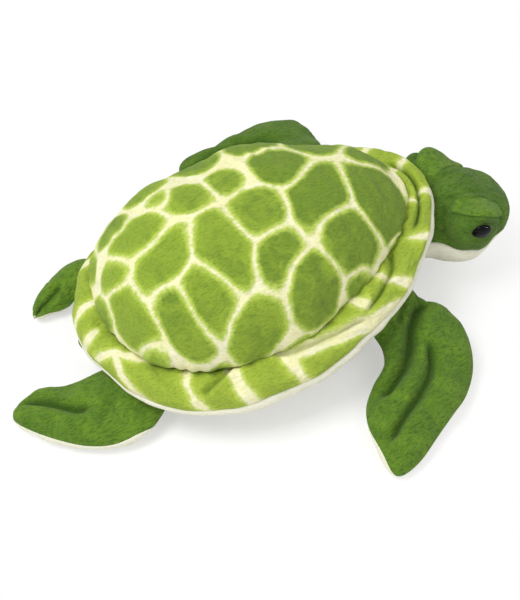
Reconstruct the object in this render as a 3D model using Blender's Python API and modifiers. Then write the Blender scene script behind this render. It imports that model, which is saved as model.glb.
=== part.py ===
"""A stuffed plush turtle lying on its belly: +X forward, +Y to its left, +Z up, metres.

The origin is on the floor under the middle of the shell. Every plush panel is a sewn skin of one
thickness round its own filling. Head, flippers and tail hang on the body at sewn seams, and each of
their pieces has its origin on the seam that it bends about.
"""
import math
from collections import namedtuple

import bmesh
import bpy
from mathutils import Matrix, Vector

# Cloth and seams
plush_thickness = 0.0015
seam_gap = 0.0003
filling_gap = 0.0006
weld_distance = 0.00002
floor_clearance = 0.0003

# Shell: the dome's seam, the dome, and the brim round it
dome_half_length = 0.0935
dome_half_width = 0.0655
dome_middle = -0.0023
dome_rise = 0.0470
dome_tilt = 0.0124
dome_droop = 0.0036
brim_reach_long = 0.0175
brim_reach_side = 0.0212
brim_left_trim = 0.0082
brim_root_depth = 0.0140
brim_edge_drop = 0.0094
brim_tilt = 0.0177
brim_droop = 0.0080
brim_puff = 0.0090
brim_under_puff = 0.0050

# Body below the brim
body_setback_long = 0.0100
body_setback_side = 0.0080
body_middle = -0.0020
brim_root_height = 0.0400
body_root_tilt = 0.0100
body_side_height = 0.0225
body_side_tilt = 0.0095
body_wall_bulge = 0.0006
flat_cut_depth = 0.0005

# Head, measured from the middle of the neck seam
neck_height = 0.0370
neck_half_length = 0.0205
neck_half_width = 0.0265
neck_half_height = 0.0120
skull_side_shift = -0.0024
skull_reach = 0.0455
skull_lift = 0.0040
skull_half_length = 0.0250
skull_half_width = 0.0310
skull_half_height = 0.0205
snout_reach = 0.0650
snout_drop = 0.0015
snout_half_length = 0.0195
snout_half_width = 0.0255
snout_half_height = 0.0165
jaw_reach = 0.0420
jaw_drop = 0.0055
jaw_half_length = 0.0280
jaw_half_width = 0.0340
jaw_half_height = 0.0135
mound_reach = 0.0455
mound_lift = 0.0108
mound_spacing = 0.0252
mound_half_length = 0.0155
mound_half_width = 0.0130
mound_half_height = 0.0140
lobe_search = 0.0900
neck_pivot_inset = 0.0062

# Eyes and eyelids
eye_radius = 0.0063
eye_dome_height = 0.0034
eye_lift = 0.0022
eye_edge_height = 0.0008
eye_seat_depth = 0.0009
shank_radius = 0.0019
shank_length = 0.0075
shank_clearance = 0.0004
washer_radius = 0.0045
washer_depth = 0.0040
washer_thickness = 0.0012
eyelid_thickness = 0.0022
eyelid_edge_thickness = 0.0012
eyelid_clearance = 0.0009
cutter_overrun = 0.0100

# Flippers and tail
front_reach = 0.0500
front_sweep = 0.1040
front_top_rise = 0.0125
front_under_drop = 0.0085
rear_reach = 0.0700
rear_sweep = 0.0470
rear_top_rise = 0.0095
rear_under_drop = 0.0070
tail_reach = 0.0265
tail_sweep = 0.0120
tail_top_rise = 0.0045
tail_under_drop = 0.0035
limb_seam_gap = 0.0008
limb_root_margin = 0.0060
limb_tip_margin = 0.0035

# Shapes without a length
dome_egg_share = -0.19
brim_egg_share = -0.14
body_egg_share = -0.10
dome_bulge_share = 0.05
brim_lean_share = 0.5
brim_upper_share = 0.8
dome_shoulder_power = 0.8
eyelid_slant_share = 0.28
dome_crown_power = 1.1
brim_round_power = 0.8
belly_square_power = 0.6
belly_sink_power = 0.9
skull_setback_share = 0.25
limb_edge_power = 0.55
limb_end_power = 8
limb_tip_power = 10
slope_zone_share = 0.50
lobe_sharpness = 9.0
neck_seat_degrees = -12.0
chin_seam_degrees = -9.0
eye_turn_degrees = -101.0
eye_rise_degrees = 17.0
eyelid_turn_degrees = -84.0
eyelid_rise_degrees = 49.0
eyelid_half_turn_degrees = 32.0
eyelid_half_rise_degrees = 13.0

# Mesh steps
shell_columns = 28
dome_rows = 7
brim_steps = 5
belly_steps = 5
head_columns = 20
crown_rows = 6
chin_rows = 4
eyelid_columns = 16
eyelid_rows = 3
limb_columns = 10
limb_rows = 6
tail_columns = 6
tail_rows = 4
eye_steps = 16
eye_arc_steps = 5
search_steps = 60
halving_steps = 30

# Colours and finishes
GREEN = (0.085, 0.215, 0.040, 1.0)
LEAF = (0.330, 0.520, 0.080, 1.0)
CREAM = (0.800, 0.770, 0.620, 1.0)
WHITE = (0.850, 0.850, 0.830, 1.0)
BLACK = (0.008, 0.008, 0.009, 1.0)
PILE_ROUGHNESS = 0.95
FIBRE_ROUGHNESS = 1.0
EYE_ROUGHNESS = 0.08
WASHER_ROUGHNESS = 0.40

Ring = namedtuple("Ring", "half_length half_width left_half_width egg_share middle height droop tilt")
Lobe = namedtuple("Lobe", "centre half_sizes")
Head = namedtuple("Head", "seam middle lobes")
Limb = namedtuple("Limb", "name side seat_degrees reach sweep top_rise under_drop outline_shares")

dome_seam = Ring(dome_half_length, dome_half_width, dome_half_width, dome_egg_share, dome_middle,
                 brim_root_height + brim_root_depth, dome_droop, dome_tilt)
brim_edge = Ring(dome_half_length + brim_reach_long, dome_half_width + brim_reach_side,
                 dome_half_width + brim_reach_side - brim_left_trim, brim_egg_share, 0.0,
                 dome_seam.height - brim_edge_drop, brim_droop, brim_tilt)
body_root = Ring(dome_half_length - body_setback_long, dome_half_width - body_setback_side,
                 dome_half_width - body_setback_side, body_egg_share, body_middle,
                 brim_root_height, dome_droop, body_root_tilt)
body_side = Ring(body_root.half_length, body_root.half_width, body_root.left_half_width,
                 body_egg_share, body_middle, body_side_height, 0.0, body_side_tilt)
dome_top = Vector((0.0, 0.0, dome_seam.height + dome_rise))


def clear_scene():
    """Empties the file of objects."""
    for item in list(bpy.data.objects):
        bpy.data.objects.remove(item, do_unlink=True)


def make_collection(name):
    """Returns a new collection in the scene."""
    group = bpy.data.collections.new(name)
    bpy.context.scene.collection.children.link(group)
    return group


def make_material(name, colour, roughness):
    """Returns a plain Principled material."""
    material = bpy.data.materials.new(name)
    material.use_nodes = True
    shader = material.node_tree.nodes["Principled BSDF"]
    shader.inputs["Base Color"].default_value = colour
    shader.inputs["Roughness"].default_value = roughness
    material.diffuse_color = colour
    return material


def mix(first, second, share):
    """Returns the place or number at that share of the way from first to second."""
    return first + (second - first) * share


def ring_point(ring, turn, inset=0.0):
    """Returns the ring's point at that turn from the nose, drawn in by inset."""
    along = math.cos(turn)
    across = math.sin(turn)
    half_width = ring.left_half_width if across > 0 else ring.half_width
    return Vector((
        ring.middle + (ring.half_length - inset) * along,
        (half_width - inset) * across * (1 + ring.egg_share * along),
        ring.height - ring.droop * across ** 2 + ring.tilt * along,
    ))


def add_sheet(bm, surface, columns, rows):
    """Adds a unit grid bent to surface(u, v), with u and v from 0 to 1, and returns its points."""
    half_share = 0.5
    grid = bmesh.ops.create_grid(bm, x_segments=columns, y_segments=rows, size=half_share)
    for vertex in grid["verts"]:
        vertex.co = surface(vertex.co.x + half_share, vertex.co.y + half_share)
    return grid["verts"]


def finish_object(bm, name, material, group, origin):
    """Turns the bent grids into one object of triangles with its origin at the given point."""
    bmesh.ops.triangulate(bm, faces=bm.faces, quad_method="BEAUTY")
    bmesh.ops.recalc_face_normals(bm, faces=bm.faces)
    if bm.calc_volume(signed=True) < 0:
        bmesh.ops.reverse_faces(bm, faces=bm.faces)
    bmesh.ops.translate(bm, verts=bm.verts, vec=-origin)
    mesh = bpy.data.meshes.new(name)
    bm.to_mesh(mesh)
    bm.free()
    mesh.materials.append(material)
    mesh.shade_smooth()
    item = bpy.data.objects.new(name, mesh)
    item.location = origin
    group.objects.link(item)
    return item


def make_skin(name, outer, inner, columns, rows, material, group, origin=Vector()):
    """Makes a sewn panel: an outer and an inner sheet, with their borders joined point to point."""
    bm = bmesh.new()
    outside = add_sheet(bm, outer, columns, rows)
    border = [edge for edge in bm.edges if edge.is_boundary]
    inside = add_sheet(bm, inner, columns, rows)
    partner = dict(zip(outside, inside))
    for edge in border:
        first, second = edge.verts
        bm.faces.new((first, second, partner[second]))
        bm.faces.new((first, partner[second], partner[first]))
    bmesh.ops.remove_doubles(bm, verts=bm.verts, dist=weld_distance)
    return finish_object(bm, name, material, group, origin)


def make_pillow(name, top, under, columns, rows, material, group, origin=Vector()):
    """Makes a filling: two sheets that share their border, with their corners cut off."""
    bm = bmesh.new()
    add_sheet(bm, top, columns, rows)
    add_sheet(bm, under, columns, rows)
    corners = [vertex for vertex in bm.verts if len(vertex.link_faces) == 1]
    bmesh.ops.dissolve_verts(bm, verts=corners)
    bmesh.ops.remove_doubles(bm, verts=bm.verts, dist=weld_distance)
    return finish_object(bm, name, material, group, origin)


def make_wrap(name, section, columns, material, group, closed, origin=Vector()):
    """Makes a solid from one section's points, which change as it goes once round."""
    sections = [section(2 * math.pi * step / columns) for step in range(columns)]
    count = len(sections[0])
    rows = count if closed else count - 1

    def surface(u, v):
        points = sections[round(u * columns) % columns]
        return points[round(v * rows) % count]

    bm = bmesh.new()
    add_sheet(bm, surface, columns, rows)
    bmesh.ops.remove_doubles(bm, verts=bm.verts, dist=weld_distance)
    return finish_object(bm, name, material, group, origin)


def make_turned(name, profile, closed, material, group, place, pivot):
    """Turns a profile of (radius, height) points, top to bottom, about the Z of its place."""
    mesh = bpy.data.meshes.new(name)
    count = len(profile)
    edges = [(index, (index + 1) % count) for index in range(count if closed else count - 1)]
    mesh.from_pydata([(radius, 0.0, height) for radius, height in profile], edges, [])
    mesh.materials.append(material)
    item = bpy.data.objects.new(name, mesh)
    item.parent = pivot
    item.matrix_parent_inverse = Matrix.Translation(-pivot.location)
    item.matrix_basis = place
    group.objects.link(item)
    screw = item.modifiers.new("Turn", "SCREW")
    screw.axis = "Z"
    screw.steps = eye_steps
    screw.render_steps = eye_steps
    screw.use_merge_vertices = True
    screw.merge_threshold = weld_distance
    screw.use_smooth_shade = True
    return item


def make_cutter(name, radius, depth, group):
    """Returns a hidden cylinder that reaches from depth below its origin to well above it."""
    height = depth + cutter_overrun
    bm = bmesh.new()
    bmesh.ops.create_cone(bm, cap_ends=True, segments=eye_steps, radius1=radius, radius2=radius,
                          depth=height)
    bmesh.ops.translate(bm, verts=bm.verts, vec=Vector((0.0, 0.0, height / 2 - depth)))
    mesh = bpy.data.meshes.new(name)
    bm.to_mesh(mesh)
    bm.free()
    item = bpy.data.objects.new(name, mesh)
    item.hide_render = True
    item.display_type = "WIRE"
    group.objects.link(item)
    return item


def cut(item, cutter):
    """Takes the cutter's shape out of the object."""
    boolean = item.modifiers.new(cutter.name, "BOOLEAN")
    boolean.operation = "DIFFERENCE"
    boolean.solver = "EXACT"
    boolean.object = cutter


def dome_point(turn, rise, inset):
    """Returns a point on the dome, with rise from 0 at the seam to a right angle at the top."""
    seam = ring_point(dome_seam, turn, inset)
    top = dome_top - Vector((0.0, 0.0, inset))
    spread = math.cos(rise) ** dome_shoulder_power + dome_bulge_share * math.sin(2 * rise)
    lift = math.sin(rise) ** dome_crown_power
    point = top + (seam - top) * spread
    point.z = mix(seam.z, top.z, lift)
    return point


def brim_arc(turn, inset, steps, upper):
    """Returns points across the brim, from its root to its edge, on its upper or under side."""
    side = 1.0 if upper else -1.0
    if upper:
        root = ring_point(dome_seam, turn, -seam_gap)
    else:
        root = ring_point(body_root, turn, -seam_gap)
    root.z -= side * inset
    edge = ring_point(brim_edge, turn, inset)
    edge.z += side * seam_gap / 2
    out = Vector((edge.x - root.x, edge.y - root.y, 0.0)).normalized()
    puff = brim_puff if upper else brim_under_puff
    points = []
    for step in range(steps + 1):
        share = step / steps
        swell = (puff - inset) * math.sin(math.pi * share) ** brim_round_power
        point = mix(root, edge, share)
        point += out * swell * (brim_lean_share if upper else 0.0)
        point.z += side * swell * (brim_upper_share if upper else 1.0)
        points.append(point)
    return points


def belly_profile(turn, inset):
    """Returns points from the body's top seam down its wall and under it to the middle.

    The underside sinks in a rounded curve that would end flat_cut_depth below the floor, and it is
    cut flat at the floor.
    """
    root = ring_point(body_root, turn, inset)
    side = ring_point(body_side, turn, inset)
    waist = (root + side) / 2
    out = Vector((waist.x - body_middle, waist.y, 0.0)).normalized()
    points = [root, waist + out * body_wall_bulge]
    middle = Vector((body_middle, 0.0, inset))
    depth = side.z - middle.z
    sunk = depth + flat_cut_depth
    last_angle = math.asin((depth / sunk) ** (1 / belly_sink_power))
    for step in range(belly_steps):
        angle = last_angle * step / (belly_steps - 1)
        point = mix(middle, side, math.cos(angle) ** belly_square_power)
        point.z = side.z - sunk * math.sin(angle) ** belly_sink_power
        points.append(point)
    points.append(middle)
    return points


def build_shell(group, cloth):
    """Makes the dome, the brim's two sides and its filling, the belly and the body's filling."""
    rises = [math.pi / 2 * (1 - row / dome_rows) for row in range(dome_rows + 1)]

    def dome_skin(turn):
        outside = [dome_point(turn, rise, 0.0) for rise in rises]
        inside = [dome_point(turn, rise, plush_thickness) for rise in rises[::-1]]
        return outside + inside

    make_wrap("carapace_dome", dome_skin, shell_columns, cloth["print"], group, False)

    def brim_skin(upper):
        def section(turn):
            outside = brim_arc(turn, 0.0, brim_steps, upper)
            inside = brim_arc(turn, plush_thickness, brim_steps - 1, upper)
            return outside + inside[::-1]
        return section

    make_wrap("carapace_rim", brim_skin(True), shell_columns, cloth["print"], group, True)
    make_wrap("rim_underside", brim_skin(False), shell_columns, cloth["cream"], group, True)

    def brim_filling(turn):
        inset = plush_thickness + filling_gap
        over = brim_arc(turn, inset, brim_steps - 1, True)
        under = brim_arc(turn, inset, brim_steps - 1, False)
        return over + under[-2::-1]

    make_wrap("rim_filling", brim_filling, shell_columns, cloth["filling"], group, True)

    def belly_skin(turn):
        outside = belly_profile(turn, 0.0)
        inside = belly_profile(turn, plush_thickness)
        return outside[::-1] + inside

    make_wrap("belly_panel", belly_skin, shell_columns, cloth["cream"], group, False)

    def body_section(turn):
        inset = plush_thickness + filling_gap
        over = [dome_point(turn, rise, inset) for rise in rises]
        return over + belly_profile(turn, inset)

    make_wrap("body_filling", body_section, shell_columns, cloth["filling"], group, False)


def head_shape():
    """Returns the neck seam's middle, the point that the skin is seen from, and the swelling lobes.

    The neck's round end comes within one seam's gap of the body's wall, at the seam's own height.
    """
    wall = ring_point(body_side, math.radians(neck_seat_degrees))
    seam = Vector((wall.x + body_wall_bulge + seam_gap, wall.y, neck_height))
    neck = seam + Vector((neck_half_length, 0.0, 0.0))
    skull = seam + Vector((skull_reach, skull_side_shift, skull_lift))
    snout = seam + Vector((snout_reach, skull_side_shift, -snout_drop))
    jaw = seam + Vector((jaw_reach, skull_side_shift, -jaw_drop))
    lobes = [
        Lobe(neck, Vector((neck_half_length, neck_half_width, neck_half_height))),
        Lobe(skull, Vector((skull_half_length, skull_half_width, skull_half_height))),
        Lobe(snout, Vector((snout_half_length, snout_half_width, snout_half_height))),
        Lobe(jaw, Vector((jaw_half_length, jaw_half_width, jaw_half_height))),
    ]
    for side in (-1, 1):
        mound = seam + Vector((mound_reach, skull_side_shift + side * mound_spacing, mound_lift))
        lobes.append(Lobe(mound, Vector((mound_half_length, mound_half_width, mound_half_height))))
    middle = Vector((skull.x - skull_half_length * skull_setback_share, skull.y, seam.z))
    return Head(seam, middle, lobes)


def direction(turn, rise):
    """Returns the unit vector at that turn from forward and that rise from level."""
    return Vector((math.cos(turn) * math.cos(rise), math.sin(turn) * math.cos(rise),
                   math.sin(rise)))


def fullness(point, lobes, inset):
    """Returns over 1 inside the soft union of the lobes, each drawn in by inset."""
    total = 0.0
    for lobe in lobes:
        offset = point - lobe.centre
        reach = Vector((offset.x / (lobe.half_sizes.x - inset),
                        offset.y / (lobe.half_sizes.y - inset),
                        offset.z / (lobe.half_sizes.z - inset)))
        total += math.exp(-lobe_sharpness * (reach.length - 1))
    return total


def skin_distance(start, ray, near, far, lobes, inset):
    """Returns how far along the ray the lobes end, between a near point inside and a far one."""
    for _ in range(halving_steps):
        half = (near + far) / 2
        if fullness(start + ray * half, lobes, inset) > 1:
            near = half
        else:
            far = half
    return near


def head_point(head, turn, rise, inset):
    """Returns the farthest point of the head's skin, drawn in by inset, in that direction."""
    ray = direction(turn, rise)
    far = lobe_search
    for step in range(search_steps):
        near = lobe_search * (1 - (step + 1) / search_steps)
        if fullness(head.middle + ray * near, head.lobes, inset) > 1:
            break
        far = near
    return head.middle + ray * skin_distance(head.middle, ray, near, far, head.lobes, inset)


def eye_matrix(head, side):
    """Returns the place and direction of an eye's seat on the skin, its Z pointing outwards."""
    mound = head.lobes[-1 if side > 0 else -2].centre + Vector((0.0, 0.0, eye_lift))
    out = direction(math.radians(eye_turn_degrees) * -side, math.radians(eye_rise_degrees))
    reach = skin_distance(mound, out, 0.0, lobe_search, head.lobes, 0.0)
    seat = mound + out * (reach - eye_seat_depth)
    return Matrix.Translation(seat) @ out.to_track_quat("Z", "Y").to_matrix().to_4x4()


def build_head(group, cutters, cloth):
    """Makes the head's two panels and filling, and each eye with its lid and washer."""
    head = head_shape()
    pivot = bpy.data.objects.new("nod_axis", None)
    pivot.location = head.seam + Vector((neck_pivot_inset, 0.0, 0.0))
    group.objects.link(pivot)
    origin = pivot.location.copy()
    split = math.radians(chin_seam_degrees)

    over = [math.pi / 2 * (1 - row / crown_rows) for row in range(crown_rows + 1)] + [split]
    under = [mix(-math.pi / 2, split, row / chin_rows) for row in range(chin_rows + 1)]

    def head_skin(rises):
        """Returns a section of skin that follows these rises and back."""
        lift = Vector((0.0, 0.0, math.copysign(seam_gap / 2, rises[0])))

        def section(turn):
            outside = [head_point(head, turn, rise, 0.0) + lift for rise in rises]
            inside = [head_point(head, turn, rise, plush_thickness) + lift
                      for rise in rises[::-1]]
            return outside + inside
        return section

    cover = make_wrap("head_cover", head_skin(over), head_columns, cloth["green"],
                      group, False, origin)
    make_wrap("chin_panel", head_skin(under), head_columns, cloth["cream"],
              group, False, origin)

    def filling_section(turn):
        rises = over + under[-2::-1]
        return [head_point(head, turn, rise, plush_thickness + filling_gap) for rise in rises]

    filling = make_wrap("head_filling", filling_section, head_columns, cloth["filling"], group,
                        False, origin)
    for side, name in ((1, "left"), (-1, "right")):
        place = eye_matrix(head, side)
        build_eye(name, place, pivot, group, cutters, cloth, cover, filling)
        build_eyelid(name, side, head, origin, group, cloth)


def build_eye(name, place, pivot, group, cutters, cloth, cover, filling):
    """Makes one domed eye with its shank and washer, and cuts their seats."""
    rim = eye_edge_height + seam_gap
    profile = [(0.0, rim + eye_dome_height)]
    for step in range(1, eye_arc_steps + 1):
        angle = math.pi / 2 * step / eye_arc_steps
        profile.append((eye_radius * math.sin(angle), rim + eye_dome_height * math.cos(angle)))
    profile += [(eye_radius, seam_gap), (shank_radius, seam_gap),
                (shank_radius, -shank_length), (0.0, -shank_length)]
    make_turned("eye_" + name, profile, False, cloth["eye"], group, place, pivot)
    bore = shank_radius + shank_clearance
    top = -washer_depth
    bottom = top - washer_thickness
    ring = [(bore, top), (washer_radius, top), (washer_radius, bottom), (bore, bottom)]
    make_turned("eye_washer_" + name, ring, True, cloth["washer"], group, place, pivot)
    seat = make_cutter("eye_seat_" + name, eye_radius + shank_clearance, 0.0, cutters)
    hole = make_cutter("eye_bore_" + name, bore, shank_length + seam_gap, cutters)
    pocket = make_cutter("washer_pocket_" + name, washer_radius + shank_clearance,
                         seam_gap - bottom, cutters)
    for cutter in (seat, hole, pocket):
        cutter.matrix_world = place
    cut(cover, seat)
    cut(cover, hole)
    cut(filling, pocket)
    cut(filling, hole)


def build_eyelid(name, side, head, origin, group, cloth):
    """Makes the puffed patch that is sewn over one eye."""
    turn_middle = math.radians(eyelid_turn_degrees) * -side
    rise_middle = math.radians(eyelid_rise_degrees)
    half_turn = math.radians(eyelid_half_turn_degrees)
    half_rise = math.radians(eyelid_half_rise_degrees)

    def lid_point(around, out, puffed):
        turn = turn_middle + half_turn * out * math.cos(around)
        fall = half_turn * out * math.cos(around) * -side * eyelid_slant_share
        rise = rise_middle + half_rise * out * math.sin(around) - fall
        puff = mix(eyelid_thickness, eyelid_edge_thickness, out ** 2) if puffed else 0.0
        return head_point(head, turn, rise, -eyelid_clearance - puff)

    def section(around):
        outs = [row / eyelid_rows for row in range(eyelid_rows + 1)]
        outside = [lid_point(around, out, True) for out in outs]
        inside = [lid_point(around, out, False) for out in outs[::-1]]
        return outside + inside

    make_wrap("eyelid_" + name, section, eyelid_columns, cloth["green"], group, False, origin)


def spline(shares, place):
    """Returns the row of numbers at place, 0 to 1, on a smooth curve through evenly spaced rows."""
    last = len(shares) - 1
    index = min(int(place * last), last - 1)
    local = place * last - index
    rows = [shares[min(max(index + step, 0), last)] for step in (-1, 0, 1, 2)]
    values = []
    for before, start, end, after in zip(*rows):
        lean_start = (end - before) / 2
        lean_end = (after - start) / 2
        rest = end - start
        square = local * local
        values.append(start + local * lean_start
                      + square * (3 * rest - 2 * lean_start - lean_end)
                      + square * local * (lean_start + lean_end - 2 * rest))
    return values


def smooth_step(value):
    """Returns 0 below 0, 1 above 1 and a smooth rise between."""
    value = min(max(value, 0.0), 1.0)
    return value * value * (3 - 2 * value)


def limb_axes(limb):
    """Returns the limb's seam point on the body's wall, its way out and its way of sweep."""
    turn = math.radians(limb.seat_degrees) * limb.side
    step = math.radians(1)
    along_wall = ring_point(body_side, turn + step) - ring_point(body_side, turn - step)
    out = Vector((along_wall.y, -along_wall.x, 0.0)).normalized()
    across = Vector((-out.y, out.x, 0.0)) * limb.side
    root = ring_point(body_side, turn) + out * seam_gap
    return root, out, across


def limb_edges(limb, place):
    """Returns the leading and trailing edge's points and the thickness share at that place."""
    root, out, across = limb_axes(limb)
    lead_reach, lead_sweep, trail_reach, trail_sweep, thick = spline(limb.outline_shares, place)
    lead = root + out * (limb.reach * lead_reach) + across * (limb.sweep * lead_sweep)
    trail = root + out * (limb.reach * trail_reach) + across * (limb.sweep * trail_sweep)
    return lead, trail, thick


def limb_sheet(limb, inset, upper):
    """Returns the surface of one side of a limb, drawn in by inset and closed round its border."""
    length = limb.reach + limb.sweep
    margins = 0.0 if inset == 0.0 else 1.0
    start = margins * (limb_root_margin + inset) / length
    finish = 1 - margins * (limb_tip_margin + inset) / length

    def surface(u, v):
        place = mix(start, finish, u)
        lead, trail, thick = limb_edges(limb, place)
        half = (lead - trail) / 2
        close = math.sqrt(1 - u ** limb_tip_power) * (1 - inset / half.length)
        lateral = -math.cos(math.pi * v)
        point = trail + half + half * (close * lateral)
        under = limb.under_drop * thick
        lying = under + limb_seam_gap / 2 + floor_clearance
        point.z = mix(point.z, lying, smooth_step(place / slope_zone_share))
        swell = max(1 - (2 * u - 1) ** limb_end_power, 0.0) ** limb_edge_power
        swell *= max(1 - lateral ** 2, 0.0) ** limb_edge_power
        if upper:
            point.z += (limb.top_rise * thick - inset) * swell
        else:
            point.z -= (under - inset) * swell
        return point

    return surface


def build_limb(limb, group, cloth, columns, rows, filled):
    """Makes a limb's green upper side, its cream underside and its filling."""
    origin = limb_axes(limb)[0]

    def shifted(inset, upper):
        surface = limb_sheet(limb, inset, upper)
        offset = Vector((0.0, 0.0, limb_seam_gap / 2 if upper else -limb_seam_gap / 2))
        return lambda u, v: surface(u, v) + offset

    for label, upper, material in (("top", True, "green"), ("underside", False, "cream")):
        make_skin(limb.name + "_" + label, shifted(0.0, upper), shifted(plush_thickness, upper),
                  columns, rows, cloth[material], group, origin)
    if filled:
        inset = plush_thickness + filling_gap
        make_pillow(limb.name + "_filling", limb_sheet(limb, inset, True),
                    limb_sheet(limb, inset, False), columns, rows, cloth["filling"], group, origin)


# Each row, root to tip: the leading edge's reach and sweep, the trailing edge's reach and sweep, and
# the thickness, as shares of the limb's sizes
front_right_shares = [
    (0.00, -0.16, 0.00, 0.16, 0.80),
    (0.50, -0.03, 0.20, 0.31, 1.00),
    (0.91, -0.04, 0.40, 0.37, 1.00),
    (1.21, 0.03, 0.49, 0.44, 1.00),
    (1.41, 0.19, 0.46, 0.56, 0.98),
    (1.47, 0.38, 0.49, 0.69, 0.94),
    (1.42, 0.54, 0.61, 0.81, 0.88),
    (1.37, 0.70, 0.78, 0.91, 0.78),
    (1.33, 0.87, 0.88, 0.97, 0.66),
    (1.26, 0.99, 0.98, 1.02, 0.50),
]
front_left_shares = [
    (0.00, -0.16, 0.00, 0.16, 0.80),
    (0.68, -0.06, 0.32, 0.21, 1.00),
    (1.13, 0.02, 0.59, 0.26, 1.00),
    (1.57, 0.11, 0.77, 0.34, 1.00),
    (1.87, 0.26, 0.77, 0.45, 0.98),
    (1.74, 0.47, 0.68, 0.56, 0.94),
    (1.43, 0.64, 0.58, 0.67, 0.88),
    (1.12, 0.80, 0.51, 0.76, 0.78),
    (0.90, 0.91, 0.47, 0.85, 0.66),
    (0.72, 0.93, 0.52, 0.90, 0.50),
]
rear_right_shares = [
    (0.00, -0.33, 0.00, 0.33, 0.80),
    (0.25, -0.33, 0.12, 0.60, 0.92),
    (0.48, -0.30, 0.27, 0.76, 1.00),
    (0.69, -0.10, 0.42, 0.95, 1.00),
    (0.83, 0.21, 0.52, 1.16, 0.95),
    (0.91, 0.62, 0.64, 1.29, 0.85),
    (0.94, 1.00, 0.75, 1.35, 0.72),
    (0.92, 1.20, 0.84, 1.33, 0.55),
]
rear_left_shares = [
    (0.00, -0.31, 0.00, 0.31, 0.80),
    (0.29, -0.47, 0.22, 0.26, 0.92),
    (0.51, -0.49, 0.41, 0.18, 1.00),
    (0.63, -0.34, 0.47, 0.27, 1.00),
    (0.70, -0.08, 0.53, 0.36, 0.95),
    (0.75, 0.18, 0.60, 0.44, 0.85),
    (0.77, 0.39, 0.65, 0.52, 0.72),
    (0.77, 0.49, 0.70, 0.55, 0.55),
]
tail_shares = [
    (0.00, -0.62, 0.00, 0.62, 1.00),
    (0.35, -0.70, 0.35, 0.50, 1.00),
    (0.69, -1.05, 0.74, 0.00, 0.85),
    (0.90, -1.29, 1.00, -0.65, 0.60),
]

limbs = [
    Limb("front_flipper_right", -1, 42.0, front_reach, front_sweep,
         front_top_rise, front_under_drop, front_right_shares),
    Limb("front_flipper_left", 1, 42.0, front_reach, front_sweep,
         front_top_rise, front_under_drop, front_left_shares),
    Limb("rear_flipper_right", -1, 155.0, rear_reach, rear_sweep,
         rear_top_rise, rear_under_drop, rear_right_shares),
    Limb("rear_flipper_left", 1, 145.0, rear_reach, rear_sweep,
         rear_top_rise, rear_under_drop, rear_left_shares),
]
tail = Limb("tail", 1, 171.0, tail_reach, tail_sweep,
            tail_top_rise, tail_under_drop, tail_shares)


def build():
    """Builds the whole turtle."""
    clear_scene()
    parts = make_collection("plush_turtle")
    cutters = make_collection("cutters")
    cloth = {
        "green": make_material("green_plush", GREEN, PILE_ROUGHNESS),
        "print": make_material("printed_plush", LEAF, PILE_ROUGHNESS),
        "cream": make_material("cream_plush", CREAM, PILE_ROUGHNESS),
        "filling": make_material("polyester_filling", WHITE, FIBRE_ROUGHNESS),
        "eye": make_material("eye_plastic", BLACK, EYE_ROUGHNESS),
        "washer": make_material("washer_plastic", WHITE, WASHER_ROUGHNESS),
    }
    build_shell(parts, cloth)
    build_head(parts, cutters, cloth)
    for limb in limbs:
        build_limb(limb, parts, cloth, limb_columns, limb_rows, True)
    build_limb(tail, parts, cloth, tail_columns, tail_rows, False)


build()
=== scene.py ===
import math
from collections import namedtuple

import bpy
import numpy as np
from mathutils import Matrix, Vector


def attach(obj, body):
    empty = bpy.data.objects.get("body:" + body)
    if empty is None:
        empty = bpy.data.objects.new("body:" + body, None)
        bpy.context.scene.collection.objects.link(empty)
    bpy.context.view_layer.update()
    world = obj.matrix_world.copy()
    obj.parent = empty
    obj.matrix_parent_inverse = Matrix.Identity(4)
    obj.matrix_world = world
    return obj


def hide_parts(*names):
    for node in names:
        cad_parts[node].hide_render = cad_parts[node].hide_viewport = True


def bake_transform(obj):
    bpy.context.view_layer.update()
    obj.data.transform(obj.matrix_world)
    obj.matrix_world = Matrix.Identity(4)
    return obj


# A stuffed turtle lying on its belly: +X towards the head, +Y to its left, +Z up, in metres.
# Every sewn panel is a skin worked out on a grid. The shell's panels share its rings, and a limb's two
# panels share its outline.

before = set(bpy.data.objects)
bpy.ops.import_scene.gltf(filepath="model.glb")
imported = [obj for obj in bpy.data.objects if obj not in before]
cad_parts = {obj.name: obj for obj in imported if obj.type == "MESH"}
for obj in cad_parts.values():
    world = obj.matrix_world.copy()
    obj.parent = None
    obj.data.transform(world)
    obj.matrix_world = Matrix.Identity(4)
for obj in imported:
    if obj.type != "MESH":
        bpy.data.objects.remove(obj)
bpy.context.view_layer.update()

Ring = namedtuple("Ring", "half_length half_width left_half_width egg middle height droop tilt")
Limb = namedtuple("Limb", "name side seat reach sweep rise drop outline lead_wrap trail_wrap folds")

SKIN = 0.0012
LIMB_SKIN = 0.0009
LID_SKIN = 0.0010

# The shell's rings, and the dome's top
DOME_SEAM = Ring(0.0935, 0.0655, 0.0655, -0.19, -0.0023, 0.0540, 0.0036, 0.0124)
BRIM_EDGE = Ring(0.1110, 0.0867, 0.0785, -0.14, 0.0, 0.0446, 0.0080, 0.0177)
BODY_ROOT = Ring(0.0835, 0.0575, 0.0575, -0.10, -0.0020, 0.0400, 0.0036, 0.0100)
BODY_SIDE = Ring(0.0835, 0.0575, 0.0575, -0.10, -0.0020, 0.0225, 0.0, 0.0095)
DOME_TOP = np.array((0.0, 0.0, 0.1010))

# The stuffing's cloth simulation: its settings, its number of frames, and the most that a place may move
CLOTH = {
    "vertex_group_mass": "pins", "mass": 0.0003, "quality": 4, "tension_stiffness": 5.0,
    "compression_stiffness": 5.0, "shear_stiffness": 3.0, "bending_stiffness": 0.3, "use_pressure": True,
    "uniform_pressure_force": 4.0, "shrink_min": -0.015, "shrink_max": -0.015,
}
CLOTH_FRAMES = 20
CLOTH_MOST = 0.0016

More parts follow.
